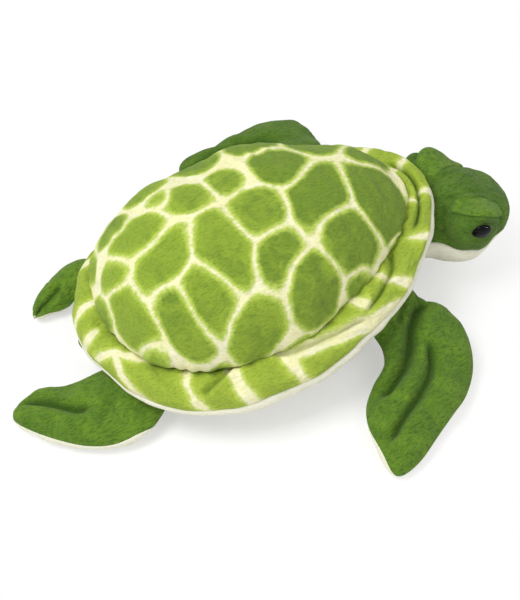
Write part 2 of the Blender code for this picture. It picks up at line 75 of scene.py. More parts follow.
# Uneven stuffing: rows of height, length and seed
DOME_LUMPS = ((0.0011, 0.062, 1), (0.0005, 0.026, 2), (0.00018, 0.011, 3))
BRIM_LUMPS = ((0.0010, 0.050, 21), (0.0005, 0.022, 22), (0.00015, 0.010, 23))
HEAD_LUMPS = ((0.0006, 0.034, 51), (0.0003, 0.014, 52))

# The dome's swell over its seam, its puckers, and how far its last rows are tucked in
DOME_OVERHANG = 0.0024
DOME_PUCKER = 0.0007
DOME_TUCK = 0.0035

# The brim: how far its root lies under the dome's seam, its swells, its puckers, the way from its edge to its
# middle, how far its border is pressed in, and its length by a radian and across when it is unrolled, in mm
BRIM_ROOT_INSET = 0.0030
BRIM_PUFF_ABOVE = 0.0090
BRIM_PUFF_BELOW = 0.0050
BRIM_PUCKER = 0.0006
BRIM_HALF_WAY = 0.012
BRIM_PRESS = 0.0009
BRIM_TURN_LENGTH = 95.0
BRIM_ACROSS_LENGTH = 34.0

# The print: how sharply cells part, how many half sizes they reach, how far their borders stray and how often
PRINT_SHARPNESS = 6.5
PRINT_REACH = 1.24
PRINT_STRAY = 0.0011
PRINT_STRAY_LENGTH = 0.028
PRINT_HEART = np.array((0.0, 0.0, 0.03))

# The neck seam's place, and the head's swelling lobes: each one's centre from the seam's middle, and its half
# sizes. The last two are the eyes' mounds
NECK_TURN = -12.0
NECK_HEIGHT = 0.0370
NECK_OUT = 0.0009
HEAD_SHARPNESS = 9.0
HEAD_LOBES = [
    ((0.0205, 0.0, 0.0), (0.0205, 0.0265, 0.0120)),
    ((0.0455, -0.0024, 0.0040), (0.0250, 0.0310, 0.0205)),
    ((0.0650, -0.0024, -0.0015), (0.0195, 0.0255, 0.0165)),
    ((0.0420, -0.0024, -0.0055), (0.0280, 0.0340, 0.0135)),
    ((0.0455, -0.0276, 0.0108), (0.0155, 0.0130, 0.0140)),
    ((0.0415, 0.0228, 0.0112), (0.0160, 0.0130, 0.0140)),
]

# The eyes: each one's turn and rise on its mound, how the domes look out, their sizes, how deep they sit, and
# the socket and the brow round them
EYE_PLACES = {-1: (-101.0, 17.0), 1: (88.0, -4.0)}
EYE_LOOK_TURN = 106.0
EYE_LOOK_RISE = -9.0
EYE_RADIUS = 0.0063
EYE_DOME = 0.0026
EYE_SUNK = 0.0035
MOUND_LIFT = np.array((0.0, 0.0, 0.0022))
SOCKET_DEPTH = 0.0026
SOCKET_WIDTH = 0.009
BROW_PLACE = np.array((-0.0005, 0.0, 0.0074))
BROW_HALVES = np.array((0.010, 0.007, 0.0042))
BROW_HEIGHT = 0.0038

# The camera and the light. Lamps are rows of name, place, size and power, and the floor turns white to the
# camera from FLOOR_NEAR to FLOOR_FAR from the middle
CAMERA_TURN = -28.0
CAMERA_RISE = 50.6
CAMERA_DISTANCE = 0.75
CAMERA_TARGET = Vector((0.0018, 0.0, 0.0078))
CAMERA_LENS = 73.8
WORLD_LIGHT = 0.56
LAMPS = [
    ("key", (-0.60, 0.05, 1.15), 0.6, 10.5),
    ("fill", (0.45, -0.70, 1.10), 0.9, 3.0),
    ("glint", (0.55, -0.66, 0.30), 0.12, 4.0),
]
LAMP_AIM = Vector((0.0, 0.0, 0.03))
FLOOR_REACH = 6.0
FLOOR_DROP = 0.0002
FLOOR_NEAR = 0.08
FLOOR_FAR = 0.24
FLOOR_WHITE = 0.40
FLOOR_PALE = (0.94, 0.94, 0.94, 1.0)
FLOOR_PALER = (0.96, 0.96, 0.96, 1.0)

# The pile's finish
PILE_ROUGHNESS = 0.92
PILE_SHEEN = 0.14
PILE_GLOSS = 0.15
SHEEN_TINT = (0.78, 0.90, 0.55, 1.0)

# Colours, linear
DEEP_GREEN = (0.088, 0.190, 0.020, 1.0)
MOSS_GREEN = (0.160, 0.285, 0.024, 1.0)
LEAF = (0.305, 0.430, 0.043, 1.0)
LEAF_DEEP = (0.165, 0.265, 0.030, 1.0)
LEAF_EDGE = (0.480, 0.610, 0.105, 1.0)
LINE_CREAM = (0.830, 0.800, 0.450, 1.0)
LINE_PALE = (0.840, 0.810, 0.580, 1.0)
CREAM = (0.800, 0.790, 0.640, 1.0)
LINE_SHADE = (0.560, 0.590, 0.270, 1.0)
CREAM_SHADE = (0.700, 0.670, 0.520, 1.0)
PILE_SHADOW = (0.040, 0.095, 0.010, 1.0)
# A darker green for the head cover, and as painted shade on the far front flipper, which lies away from the
# light
DARK_GREEN = (0.066, 0.150, 0.017, 1.0)
DARK_MOSS = (0.120, 0.220, 0.026, 1.0)
LID_GREEN = (0.150, 0.270, 0.026, 1.0)
BRIM_LEAF = (0.385, 0.505, 0.056, 1.0)
BRIM_DEEP = (0.235, 0.340, 0.038, 1.0)
BRIM_EDGE_LEAF = (0.520, 0.630, 0.125, 1.0)
EYE_BLACK = (0.003, 0.003, 0.004, 1.0)
WASHER_WHITE = (0.780, 0.780, 0.750, 1.0)
TUFT_TINT = (0.52, 0.58, 0.42, 1.0)
# Multiplied into the print for painted shade in its folds and seams
FOLD_SHADE = (0.34, 0.42, 0.20, 1.0)

# The dome's printed cells: turn from the nose in degrees, share of the way down, half size round and
# down in millimetres, and how far the cell's long way leans towards greater turns, in degrees
CELLS = [
    (116, 0.12, 10, 11, 0), (47, 0.17, 17, 16, 0), (149, 0.20, 11, 15, 24), (144, 0.32, 7, 8, 0),
    (166, 0.42, 12, 17, 0), (-167, 0.37, 13, 22, 0), (-136, 0.24, 16, 25, 28), (176, 0.61, 9, 12, 0),
    (-163, 0.71, 13, 20, 60), (-140, 0.61, 12, 22, 34), (-134, 0.46, 14, 22, 30),
    (-110, 0.68, 14, 22, -30), (-105, 0.08, 17, 16, 0), (-96, 0.32, 13, 21, -45),
    (-41, 0.20, 26, 16, 0), (-27, 0.53, 19, 27, -42), (-61, 0.52, 17, 20, 12), (-86, 0.60, 17, 22, -25),
    (-68, 0.86, 9, 11, 0), (-94, 0.98, 11, 7, 0), (-124, 0.98, 8, 7, 0), (-149, 0.89, 8, 10, 0),
    (12, 0.56, 14, 18, 20), (42, 0.50, 16, 17, -15), (72, 0.48, 16, 18, 20), (100, 0.46, 15, 16, 0),
    (125, 0.54, 13, 17, -20), (149, 0.62, 11, 14, 0), (-44, 0.95, 8, 6, 0),
    (20, 0.92, 13, 11, 0), (38, 0.84, 13, 14, 0), (60, 0.82, 15, 14, 15), (86, 0.80, 14, 15, -10),
    (111, 0.80, 14, 14, 10), (134, 0.84, 12, 12, 0), (157, 0.84, 11, 11, 0), (180, 0.86, 10, 9, 0),
]

# The brim's cream bands: (turn, share across) points, then half the band's width at each end in millimetres
BANDS = [
    ([(6, 0.0), (8, 0.5), (13, 1.0)], 2.0, 2.2),
    ([(-18, 0.0), (-19, 0.36)], 1.2, 1.2),
    ([(-14, 0.44), (-15, 1.0)], 1.2, 1.5),
    ([(-39, 0.34), (-37, 0.62), (-34, 1.0)], 0.6, 1.9),
    ([(-59, 0.0), (-58, 0.40), (-53, 1.0)], 1.0, 1.8),
    ([(-73, 0.0), (-70, 0.40)], 1.2, 1.5),
    ([(-104, 0.06), (-97, 0.29), (-87, 0.38), (-77, 0.57), (-69, 0.80), (-63, 1.0)], 1.2, 6.0),
    ([(-103, 0.0), (-100, 0.5), (-97, 1.0)], 1.9, 1.1),
    ([(-121, 0.0), (-118, 0.5), (-113, 1.0)], 2.6, 1.9),
    ([(-137, 0.0), (-136, 0.4), (-133, 0.72), (-127, 1.0)], 1.1, 0.9),
    ([(-172, 0.85), (-167, 0.35), (-154, 0.04)], 1.6, 2.4),
    ([(-166, 0.35), (-160, 0.70), (-148, 1.0)], 1.9, 1.1),
    ([(-179, 0.35), (-179, 1.0)], 0.6, 1.1),
    ([(167, 0.0), (169, 0.5), (173, 1.0)], 2.0, 1.8),
    ([(143, 0.0), (147, 1.0)], 1.5, 1.8),
    ([(119, 0.0), (121, 1.0)], 1.8, 1.4),
    ([(95, 0.0), (93, 1.0)], 1.2, 1.8),
    ([(72, 0.0), (69, 1.0)], 1.8, 1.4),
    ([(49, 0.0), (46, 1.0)], 1.2, 1.6),
    ([(28, 0.0), (29, 1.0)], 1.5, 1.4),
]

# The brim's folds: (turn, share) points, then width, depth and one side's lift in millimetres
BRIM_FOLDS = [
    ([(16, 0.26), (4, 0.36), (-10, 0.40), (-24, 0.40), (-37, 0.34)], 6.0, 6.5, 0.0),
    ([(-46, 0.06), (-54, 0.30), (-64, 0.42), (-73, 0.46)], 5.5, 5.5, 1.2),
    ([(-60, 0.62), (-52, 0.70)], 6.0, 1.2, 0.0),
    ([(-106, 0.04), (-98, 0.22), (-87, 0.30), (-77, 0.46), (-72, 0.62)], 5.0, 4.6, -2.4),
    ([(-131, 0.66), (-126, 0.34), (-119, 0.0)], 6.0, 5.0, 3.2),
    ([(-152, 0.0), (-147, 0.30), (-141, 0.60)], 9.0, 2.0, 0.0),
    ([(178, 0.14), (-177, 0.62)], 6.0, 2.2, 0.0),
    ([(158, 0.05), (150, 0.45)], 7.0, 2.4, 0.0),
    ([(104, 0.06), (98, 0.60)], 8.0, 2.2, 0.0),
    ([(60, 0.05), (52, 0.55)], 7.0, 2.8, 0.0),
    ([(34, 0.10), (28, 0.50)], 6.0, 2.4, 0.0),
]

# The creases behind each eye's mound, between it and the crown, and under its lid: (turn, rise) points, then
# depth in millimetres and width in degrees
HEAD_CREASES = [
    ([(108, 62), (118, 50), (121, 36), (119, 22), (114, 6)], 2.6, 5.0),
    ([(106, 62), (86, 69), (60, 67), (40, 58), (29, 44), (25, 28)], 1.9, 4.6),
    ([(112, 44), (100, 40), (88, 35), (76, 29), (64, 22), (52, 12)], 2.2, 4.5),
]

# Rows from root to tip: the leading edge's reach and sweep, the trailing edge's, and the thickness
FRONT_RIGHT = [
    (0.00, -0.16, 0.00, 0.16, 0.80), (0.50, -0.03, 0.20, 0.31, 1.00), (0.91, -0.04, 0.40, 0.37, 1.00),
    (1.21, 0.03, 0.49, 0.44, 1.00), (1.41, 0.19, 0.46, 0.56, 0.98), (1.47, 0.38, 0.49, 0.69, 0.94),
    (1.42, 0.54, 0.61, 0.81, 0.88), (1.37, 0.70, 0.78, 0.91, 0.78), (1.33, 0.87, 0.88, 0.97, 0.66),
    (1.26, 0.99, 0.98, 1.02, 0.50),
]
FRONT_LEFT = [
    (0.00, -0.16, 0.00, 0.16, 0.80), (0.68, -0.06, 0.32, 0.21, 1.00), (1.13, 0.02, 0.59, 0.26, 1.00),
    (1.57, 0.11, 0.77, 0.34, 1.00), (1.87, 0.26, 0.77, 0.45, 0.98), (1.74, 0.47, 0.68, 0.56, 0.94),
    (1.43, 0.64, 0.58, 0.67, 0.88), (1.12, 0.80, 0.51, 0.76, 0.78), (0.90, 0.91, 0.47, 0.85, 0.66),
    (0.72, 0.93, 0.52, 0.90, 0.50),
]
REAR_RIGHT = [
    (0.00, -0.33, 0.00, 0.33, 0.80), (0.25, -0.33, 0.12, 0.60, 0.92), (0.48, -0.30, 0.27, 0.76, 1.00),
    (0.69, -0.10, 0.42, 0.95, 1.00), (0.83, 0.21, 0.52, 1.16, 0.95), (0.91, 0.62, 0.64, 1.29, 0.85),
    (0.94, 1.00, 0.75, 1.35, 0.72), (0.92, 1.20, 0.84, 1.33, 0.55),
]
REAR_LEFT = [
    (0.00, -0.31, 0.00, 0.31, 0.80), (0.29, -0.47, 0.22, 0.26, 0.92), (0.51, -0.49, 0.41, 0.18, 1.00),
    (0.63, -0.34, 0.47, 0.27, 1.00), (0.70, -0.08, 0.53, 0.36, 0.95), (0.75, 0.18, 0.60, 0.44, 0.85),
    (0.77, 0.39, 0.65, 0.52, 0.72), (0.77, 0.49, 0.70, 0.55, 0.55),
]
TAIL_OUTLINE = [
    (0.00, -0.62, 0.00, 0.62, 1.00), (0.35, -0.70, 0.35, 0.50, 1.00), (0.69, -1.05, 0.74, 0.00, 0.85),
    (0.90, -1.29, 1.00, -0.65, 0.60),
]

# A limb's folds: points on the plan, width, depth and one side's lift, all in millimetres
LIMBS = [
    Limb("front_flipper_right", -1, 42.0, 0.0500, 0.1040, 0.0125, 0.0085, FRONT_RIGHT, 0.0, 26.0, [
        ([(82, -62), (76, -65), (70, -69), (61, -77), (54, -86), (46, -92), (32, -97), (22, -99)],
         11.0, 11.0, 1.6),
        ([(65, -82), (66, -90), (62, -98), (56, -104), (44, -112), (29, -119), (12, -128)], 8.0, 9.5, 1.8),
        ([(66, -56), (62, -64), (54, -73)], 9.0, 4.5, 0.0),
    ]),
    Limb("front_flipper_left", 1, 42.0, 0.0500, 0.1040, 0.0125, 0.0085, FRONT_LEFT, 0.0, 0.0, [
        ([(90, 58), (78, 68), (68, 82)], 10.0, 6.0, 1.0),
        ([(6, 115), (26, 119), (46, 118), (62, 112), (74, 102)], 8.0, 6.0, 1.0),
    ]),
    Limb("rear_flipper_right", -1, 155.0, 0.0700, 0.0470, 0.0095, 0.0070, REAR_RIGHT, 22.0, 0.0, [
        ([(-158, 4), (-148, -6), (-138, -17), (-130, -26), (-121, -31)], 9.0, 8.0, 1.2),
        ([(-106, -28), (-114, -37), (-124, -42)], 8.0, 2.5, 0.0),
    ]),
    Limb("rear_flipper_left", 1, 145.0, 0.0700, 0.0470, 0.0095, 0.0070, REAR_LEFT, 0.0, 18.0, [
        ([(-126, 51), (-114, 55), (-102, 61)], 7.0, 4.6, 1.0),
    ]),
    Limb("tail", 1, 171.0, 0.0265, 0.0120, 0.0045, 0.0035, TAIL_OUTLINE, 0.0, 0.0, []),
]


def mix(first, second, share):
    """first + (second - first) * share."""
    return first + (second - first) * share


def smooth(low, high, value):
    """0 below low, 1 above high, and 3t^2 - 2t^3 between, with t the share of the way."""
    share = np.clip((value - low) / (high - low), 0.0, 1.0)
    return share * share * (3 - 2 * share)


def unit(vectors):
    """Each vector over its own length."""
    return vectors / np.maximum(np.linalg.norm(vectors, axis=-1, keepdims=True), 1e-12)


def wander(points, length, seed):
    """A smooth uneven field near -1 to 1: ten sine waves of about that length, summed.

    Each is sin(k . p + phase), with k in a random direction from the seed and 2 pi / length long.
    """
    dice = np.random.default_rng(seed)
    ways = unit(dice.normal(size=(10, 3))) * dice.uniform(0.7, 1.35, (10, 1)) * 2 * math.pi / length
    phases = dice.uniform(0.0, 2 * math.pi, 10)
    return np.sin(points @ ways.T + phases).sum(axis=-1) * 0.32


def lumps(points, layers):
    """The sum of wander over layers of height, length and seed."""
    return sum(height * wander(points, length, seed) for height, length, seed in layers)


def signed_degrees(turn):
    """A turn in degrees from -180 to 180, where 0 looks forward."""
    return np.degrees(np.arctan2(np.sin(turn), np.cos(turn)))


def all_round(count):
    """Evenly spaced turns, once round, in one row."""
    return np.linspace(0.0, 2 * math.pi, count, endpoint=False)[None, :]


def path_reach(x, y, path):
    """How far each (x, y) is from a bent line, on which side of it, and beside which share of it.

    For each straight piece the nearest place is (p - a) . step, held within the piece.
    """
    path = np.asarray(path, float)
    lengths = np.linalg.norm(np.diff(path, axis=0), axis=1)
    best = np.full(np.shape(x), np.inf)
    side = np.zeros(np.shape(x))
    along = np.zeros(np.shape(x))
    for start, end, length, done in zip(path[:-1], path[1:], lengths, np.cumsum(lengths) - lengths):
        step = (end - start) / length
        place = np.clip((x - start[0]) * step[0] + (y - start[1]) * step[1], 0.0, length)
        off_x = x - start[0] - place * step[0]
        off_y = y - start[1] - place * step[1]
        reach = np.hypot(off_x, off_y)
        closer = reach < best
        best = np.where(closer, reach, best)
        side = np.where(closer, np.sign(step[0] * off_y - step[1] * off_x), side)
        along = np.where(closer, (done + place) / lengths.sum(), along)
    return best, side, along


def fold(x, y, path, width, depth, lift):
    """A sewn or pressed fold: the valley where two round rolls meet, width to each side and depth deep.

    With r the reach over the width, its height is -depth times the mean of 1 - sqrt(1 - (1 - r)^2) and
    exp(-(r / 0.42)^2). lift raises the side that it is signed for, and all of it fades at both ends.
    """
    reach, side, along = path_reach(x, y, path)
    ends = 0.15 + 0.85 * smooth(0.0, 0.16, along) * smooth(0.0, 0.16, 1 - along)
    share = np.clip(np.hypot(reach, 0.2) / width, 0.0, 1.0)
    valley = depth * (1 - np.sqrt(1 - (1 - share) ** 2) + np.exp(-(reach / (0.42 * width)) ** 2)) / 2
    leaning = (1 + math.copysign(1.0, lift) * side * np.tanh(1.2 * reach)) / 2
    raised = abs(lift) * leaning * np.exp(-(reach / (1.4 * width)) ** 2)
    return (raised - valley) * ends


def crease_depth(x, y, path, width, depth):
    """How deep in a fold each place lies, 0 to 1, for the painted shade there: exp(-(reach / 0.3 width)^2).
    """
    reach, _, along = path_reach(x, y, path)
    ends = smooth(0.0, 0.12, along) * smooth(0.0, 0.12, 1 - along)
    return np.exp(-(reach / (0.3 * width)) ** 2) * ends * min(1.0, depth / 7.0)


def ring_points(ring, turn, inset=0.0):
    """The ring's point at each turn t, with a and b its half length and half width.

    x = middle + (a - inset) cos t, y = (b - inset) sin t (1 + egg cos t) and z = height - droop sin^2 t
    + tilt cos t. The half width is another on the toy's left.
    """
    along, across = np.cos(turn), np.sin(turn)
    half_width = np.where(across > 0, ring.left_half_width, ring.half_width)
    return np.stack([
        ring.middle + (ring.half_length - inset) * along,
        (half_width - inset) * across * (1 + ring.egg * along),
        ring.height - ring.droop * across ** 2 + ring.tilt * along,
    ], axis=-1)


def grid_normals(points, wrap, heart):
    """The cross product of the grid's two slopes at each point, turned away from the heart."""
    down = np.gradient(points, axis=0)
    if wrap:
        around = (np.roll(points, -1, axis=1) - np.roll(points, 1, axis=1)) / 2
    else:
        around = np.gradient(points, axis=1)
    normals = np.cross(down, around)
    for row, near in ((0, 1), (-1, -2)):
        flat = np.linalg.norm(normals[row], axis=-1) < 1e-12
        normals[row][flat] = normals[near].mean(axis=0)
    normals = unit(normals)
    return normals * math.copysign(1.0, float(((points - heart) * normals).sum()))


def stuff(piece, pins, calm):
    """Fills a panel by cloth simulation: it is let out a little and pressed from inside, against its pins.

    What each place moves, m, is held to m tanh(|m| / M) M / |m| with M the most that it may, and fades to
    nothing where the pin is 1. Round a pole, where calm is 1, all places move alike.
    """
    scene = bpy.context.scene
    group = piece.vertex_groups.new(name="pins")
    levels = np.round(pins * 10) / 10
    for level in np.unique(levels):
        group.add(np.nonzero(levels == level)[0].tolist(), float(level), "REPLACE")
    fabric = piece.modifiers.new("Stuffing", "CLOTH")
    for label, value in CLOTH.items():
        setattr(fabric.settings, label, value)
    fabric.settings.effector_weights.gravity = 0.0
    fabric.collision_settings.use_collision = False
    fabric.point_cache.frame_start = 1
    fabric.point_cache.frame_end = CLOTH_FRAMES
    start = np.empty(len(pins) * 3, np.float32)
    ended = np.empty(len(pins) * 3, np.float32)
    piece.data.vertices.foreach_get("co", start)
    for number in range(1, CLOTH_FRAMES + 1):
        scene.frame_set(number)
    seen = piece.evaluated_get(bpy.context.evaluated_depsgraph_get())
    seen.data.vertices.foreach_get("co", ended)
    move = (ended - start).reshape(-1, 3)
    length = np.maximum(np.linalg.norm(move, axis=1, keepdims=True), 1e-9)
    move = move * (np.tanh(length / CLOTH_MOST) * CLOTH_MOST / length) * (1 - pins[:, None])
    if calm.any():
        move = mix(move, np.average(move, axis=0, weights=calm), calm[:, None])
    piece.modifiers.remove(fabric)
    piece.vertex_groups.remove(group)
    piece.data.vertices.foreach_set("co", start + move.astype(np.float32).reshape(-1))
    piece.data.update()
    scene.frame_set(1)


def make_piece(name, points, wrap, heart, material, poles=(False, False), skin=SKIN, values=None, pins=None):
    """Makes one sewn panel from a grid of points, and gives it its thickness inwards.

    The grid's first axis runs down and its second round. A pole's row is one point with a fan of
    triangles, and faces are wound so that they look away from the heart. Values are what the pile reads
    at each point. Pins, 0 to 1, are where a panel is held while it is stuffed.
    """
    rows, columns = points.shape[:2]
    numbers = np.arange(rows * columns).reshape(rows, columns)
    for row, pole in ((0, poles[0]), (-1, poles[1])):
        if pole:
            numbers[row] = numbers[row, 0]
    following = np.roll(numbers, -1, axis=1) if wrap else numbers[:, 1:]
    present = numbers if wrap else numbers[:, :-1]
    quads = np.stack([present[:-1], following[:-1], following[1:], present[1:]], axis=-1)
    flat = points.reshape(-1, 3)
    corners = flat[quads]
    facing = np.cross(corners[..., 2, :] - corners[..., 0, :], corners[..., 3, :] - corners[..., 1, :])
    if float((facing * (corners.mean(axis=-2) - heart)).sum()) < 0:
        quads = quads[..., ::-1]
    faces = []
    for row in range(rows - 1):
        line = quads[row]
        if row == 0 and poles[0] or row == rows - 2 and poles[1]:
            keep = np.array([[face[i] != face[i - 1] for i in range(4)] for face in line])
            faces += [face[kept].tolist() for face, kept in zip(line, keep)]
        else:
            faces += line.tolist()
    used = np.unique(numbers)
    place = np.full(rows * columns, -1)
    place[used] = np.arange(len(used))
    faces = [[int(place[corner]) for corner in face] for face in faces]
    mesh = bpy.data.meshes.new(name)
    mesh.from_pydata(flat[used].tolist(), [], faces)
    mesh.update()
    mesh.shade_smooth()
    for label, field in (values or {}).items():
        layer = mesh.attributes.new(label, "FLOAT", "POINT")
        layer.data.foreach_set("value", field.reshape(-1)[used].astype(np.float32))
    mesh.materials.append(material)
    piece = bpy.data.objects.new(name, mesh)
    bpy.context.scene.collection.objects.link(piece)
    if pins is not None:
        down = np.linspace(0.0, 1.0, rows)[:, None] + np.zeros((1, columns))
        calm = 1 - smooth(0.03, 0.11, down) if poles[0] else 0 * down
        stuff(piece, pins.reshape(-1)[used], calm.reshape(-1)[used])
    if skin:
        wall = piece.modifiers.new("Skin", "SOLIDIFY")
        wall.thickness = skin
        wall.offset = -1.0
    return piece


def print_values(points):
    """How far each point of the dome is inside its printed cell, in millimetres, and that cell's own tone.

    A cell is an ellipse on the surface: q is the offset's share of the half size along each of its own
    ways, and |q| its reach. The gap is -log(sum of exp(-k (|q_j| - |q|))) / 2k over the other cells, or
    what |q| is short of PRINT_REACH, whichever is less, times the cell's size. k is PRINT_SHARPNESS.
    Cells nearer the head have a deeper tone.
    """
    turns, shares, wide, high, lean = np.array(CELLS, float).T
    turns, lean = np.radians(turns), np.radians(lean)
    centres = dome_base(turns, shares)
    normal = unit(centres - PRINT_HEART)
    round_way = unit(dome_base(turns + 0.02, shares) - dome_base(turns - 0.02, shares))
    normal = unit(np.cross(round_way, np.cross(normal, round_way)))
    down_way = np.cross(round_way, normal)
    down_way *= np.where(down_way[:, 2:] > 0, -1.0, 1.0)
    long_way = down_way * np.cos(lean)[:, None] + round_way * np.sin(lean)[:, None]
    short_way = round_way * np.cos(lean)[:, None] - down_way * np.sin(lean)[:, None]
    size = np.sqrt(wide * high)
    flat = points.reshape(-1, 3)
    stray = np.stack([wander(flat, PRINT_STRAY_LENGTH, seed) for seed in (11, 12, 13)], axis=-1)
    flat = flat + stray * PRINT_STRAY
    off = (flat[:, None, :] - centres[None]) * 1000
    reach = np.sqrt(((off * long_way).sum(-1) / high) ** 2 + ((off * short_way).sum(-1) / wide) ** 2
                    + ((off * normal).sum(-1) / size) ** 2)
    own = reach.argmin(axis=1)
    nearest = reach.min(axis=1)
    others = np.exp(-PRINT_SHARPNESS * (reach - nearest[:, None]))
    others[np.arange(len(flat)), own] = 0.0
    between = -np.log(others.sum(axis=1) + 1e-9) / PRINT_SHARPNESS / 2
    gap = np.minimum(between, PRINT_REACH - nearest) * size[own]
    chance = np.random.default_rng(5).uniform(0.0, 1.0, len(CELLS))
    tones = 0.45 * chance + 0.55 * smooth(-1.0, 1.0, np.cos(turns))
    return np.clip(gap, -6.0, 14.0), tones[own]


def dome_base(turn, share):
    """The dome: from its top to its seam by (cos r)^0.8 + sin(2r) / 20, and up by (sin r)^1.1.

    r is the rise, a right angle at the top, where share is 0, and 0 at the seam.
    """
    rise = math.pi / 2 * (1 - share)
    seam = ring_points(DOME_SEAM, turn)
    spread = np.cos(rise) ** 0.8 + 0.05 * np.sin(2 * rise)
    points = DOME_TOP + (seam - DOME_TOP) * spread[..., None]
    points[..., 2] = mix(seam[..., 2], DOME_TOP[2], np.sin(rise) ** 1.1)
    return points


def make_dome(cloth):
    """The dome's printed panel: the base, swollen over its seam, with uneven stuffing and puckers.

    It moves out by DOME_OVERHANG * exp(-((s - 0.90) / 0.09)^2) above the seam, by its lumps, and in and
    out by small puckers that are full at the seam and gone a quarter of the way up. Its last rows are
    tucked in and down, and the seam's shade is painted on them.
    """
    turn = all_round(300)
    share = np.linspace(0.0, 1.0, 84)[:, None] ** 0.92
    turn, share = np.broadcast_arrays(turn, share)
    points = dome_base(turn, share)
    heart = np.array((0.0, 0.0, 0.04))
    out = grid_normals(points, True, heart)
    pucker = np.sin(46 * turn + 2.5 * np.sin(5 * turn) + 1.6 * np.sin(11 * turn + 1))
    strength = smooth(0.74, 0.97, share) * (0.55 + 0.45 * np.sin(7 * turn + 2) * np.sin(3 * turn))
    swell = DOME_OVERHANG * np.exp(-((share - 0.90) / 0.09) ** 2) + lumps(points, DOME_LUMPS)
    swell += DOME_PUCKER * pucker * strength
    points = points + out * swell[..., None]
    tuck = smooth(0.955, 1.0, share)[..., None]
    inwards = unit(np.stack([-np.cos(turn), -np.sin(turn), np.full(turn.shape, -0.55)], axis=-1))
    points = points + inwards * tuck * DOME_TUCK
    gap, tone = print_values(points)
    # Painted shade along the seam with the brim
    shade = 0.95 * smooth(0.940, 0.995, share)
    return make_piece("carapace_dome_plush", points, True, heart, cloth["print"], (True, False),
                      values={"cell_gap": gap, "cell_tone": tone, "crease_shade": shade},
                      pins=smooth(0.90, 0.97, share))


def brim_section(turn, place):
    """The brim, from the dome's seam over its upper side (place 0 to 1) and under to its root (to 2).

    Each side is the straight way from root to edge, swollen by sin(pi s)^0.8, out by half of that on
    the upper side, up by 0.8 of it there and down by all of it on the under side.
    """
    upper = place <= 1.0
    share = np.where(upper, place, 2.0 - place)
    inner = ring_points(DOME_SEAM, turn, BRIM_ROOT_INSET)
    root = np.where(upper[..., None], inner, ring_points(BODY_ROOT, turn))
    edge = ring_points(BRIM_EDGE, turn)
    out = edge - root
    out[..., 2] = 0.0
    out = unit(out)
    puff = np.where(upper, BRIM_PUFF_ABOVE, BRIM_PUFF_BELOW)
    swell = puff * np.sin(math.pi * np.clip(share, 0.0, 1.0)) ** 0.8
    points = mix(root, edge, share[..., None])
    points = points + out * np.where(upper, swell * 0.5, 0.0)[..., None]
    points[..., 2] += np.where(upper, swell * 0.8, -swell)
    return points


def edge_strip(turn):
    """How much of the brim's upper side is cream at its edge: most at the front, then on the near side."""
    degrees = signed_degrees(turn)
    front = np.exp(-((degrees + 18) / 46) ** 2)
    near = np.exp(-((degrees + 92) / 34) ** 2)
    return 0.045 + 0.135 * np.maximum(front, 0.70 * near) + 0.012 * np.sin(9 * turn)


def brim_plan(degrees, place, path):
    """The brim unrolled, in millimetres: each place and a path's points, the turns from the path's middle."""
    middle = path[len(path) // 2][0]
    along = np.radians((degrees - middle + 180) % 360 - 180) * BRIM_TURN_LENGTH
    along, across = np.broadcast_arrays(along, np.clip(place, 0.0, 1.4) * BRIM_ACROSS_LENGTH)
    line = [(math.radians((turn - middle + 180) % 360 - 180) * BRIM_TURN_LENGTH, share * BRIM_ACROSS_LENGTH)
            for turn, share in path]
    return along, across, line


def shaped_brim(turn, place):
    """The brim's section with its folds, puckers at the dome's seam and uneven stuffing."""
    points = brim_section(turn, place)
    heart = ring_points(BRIM_EDGE, turn, BRIM_HALF_WAY) - np.array((0.0, 0.0, 0.002))
    out = grid_normals(points, True, np.zeros(3))
    out = out * np.sign(((points - heart) * out).sum(axis=-1, keepdims=True))
    swell = lumps(points, BRIM_LUMPS)
    degrees = signed_degrees(turn)
    for path, width, depth, lift in BRIM_FOLDS:
        swell += 0.001 * fold(*brim_plan(degrees, place, path), width, depth, lift)
    pucker = np.sin(52 * turn + 2.2 * np.sin(6 * turn) + 1.3 * np.sin(13 * turn))
    swell += BRIM_PUCKER * pucker * (1 - smooth(0.05, 0.40, place))
    return points + out * swell[..., None]


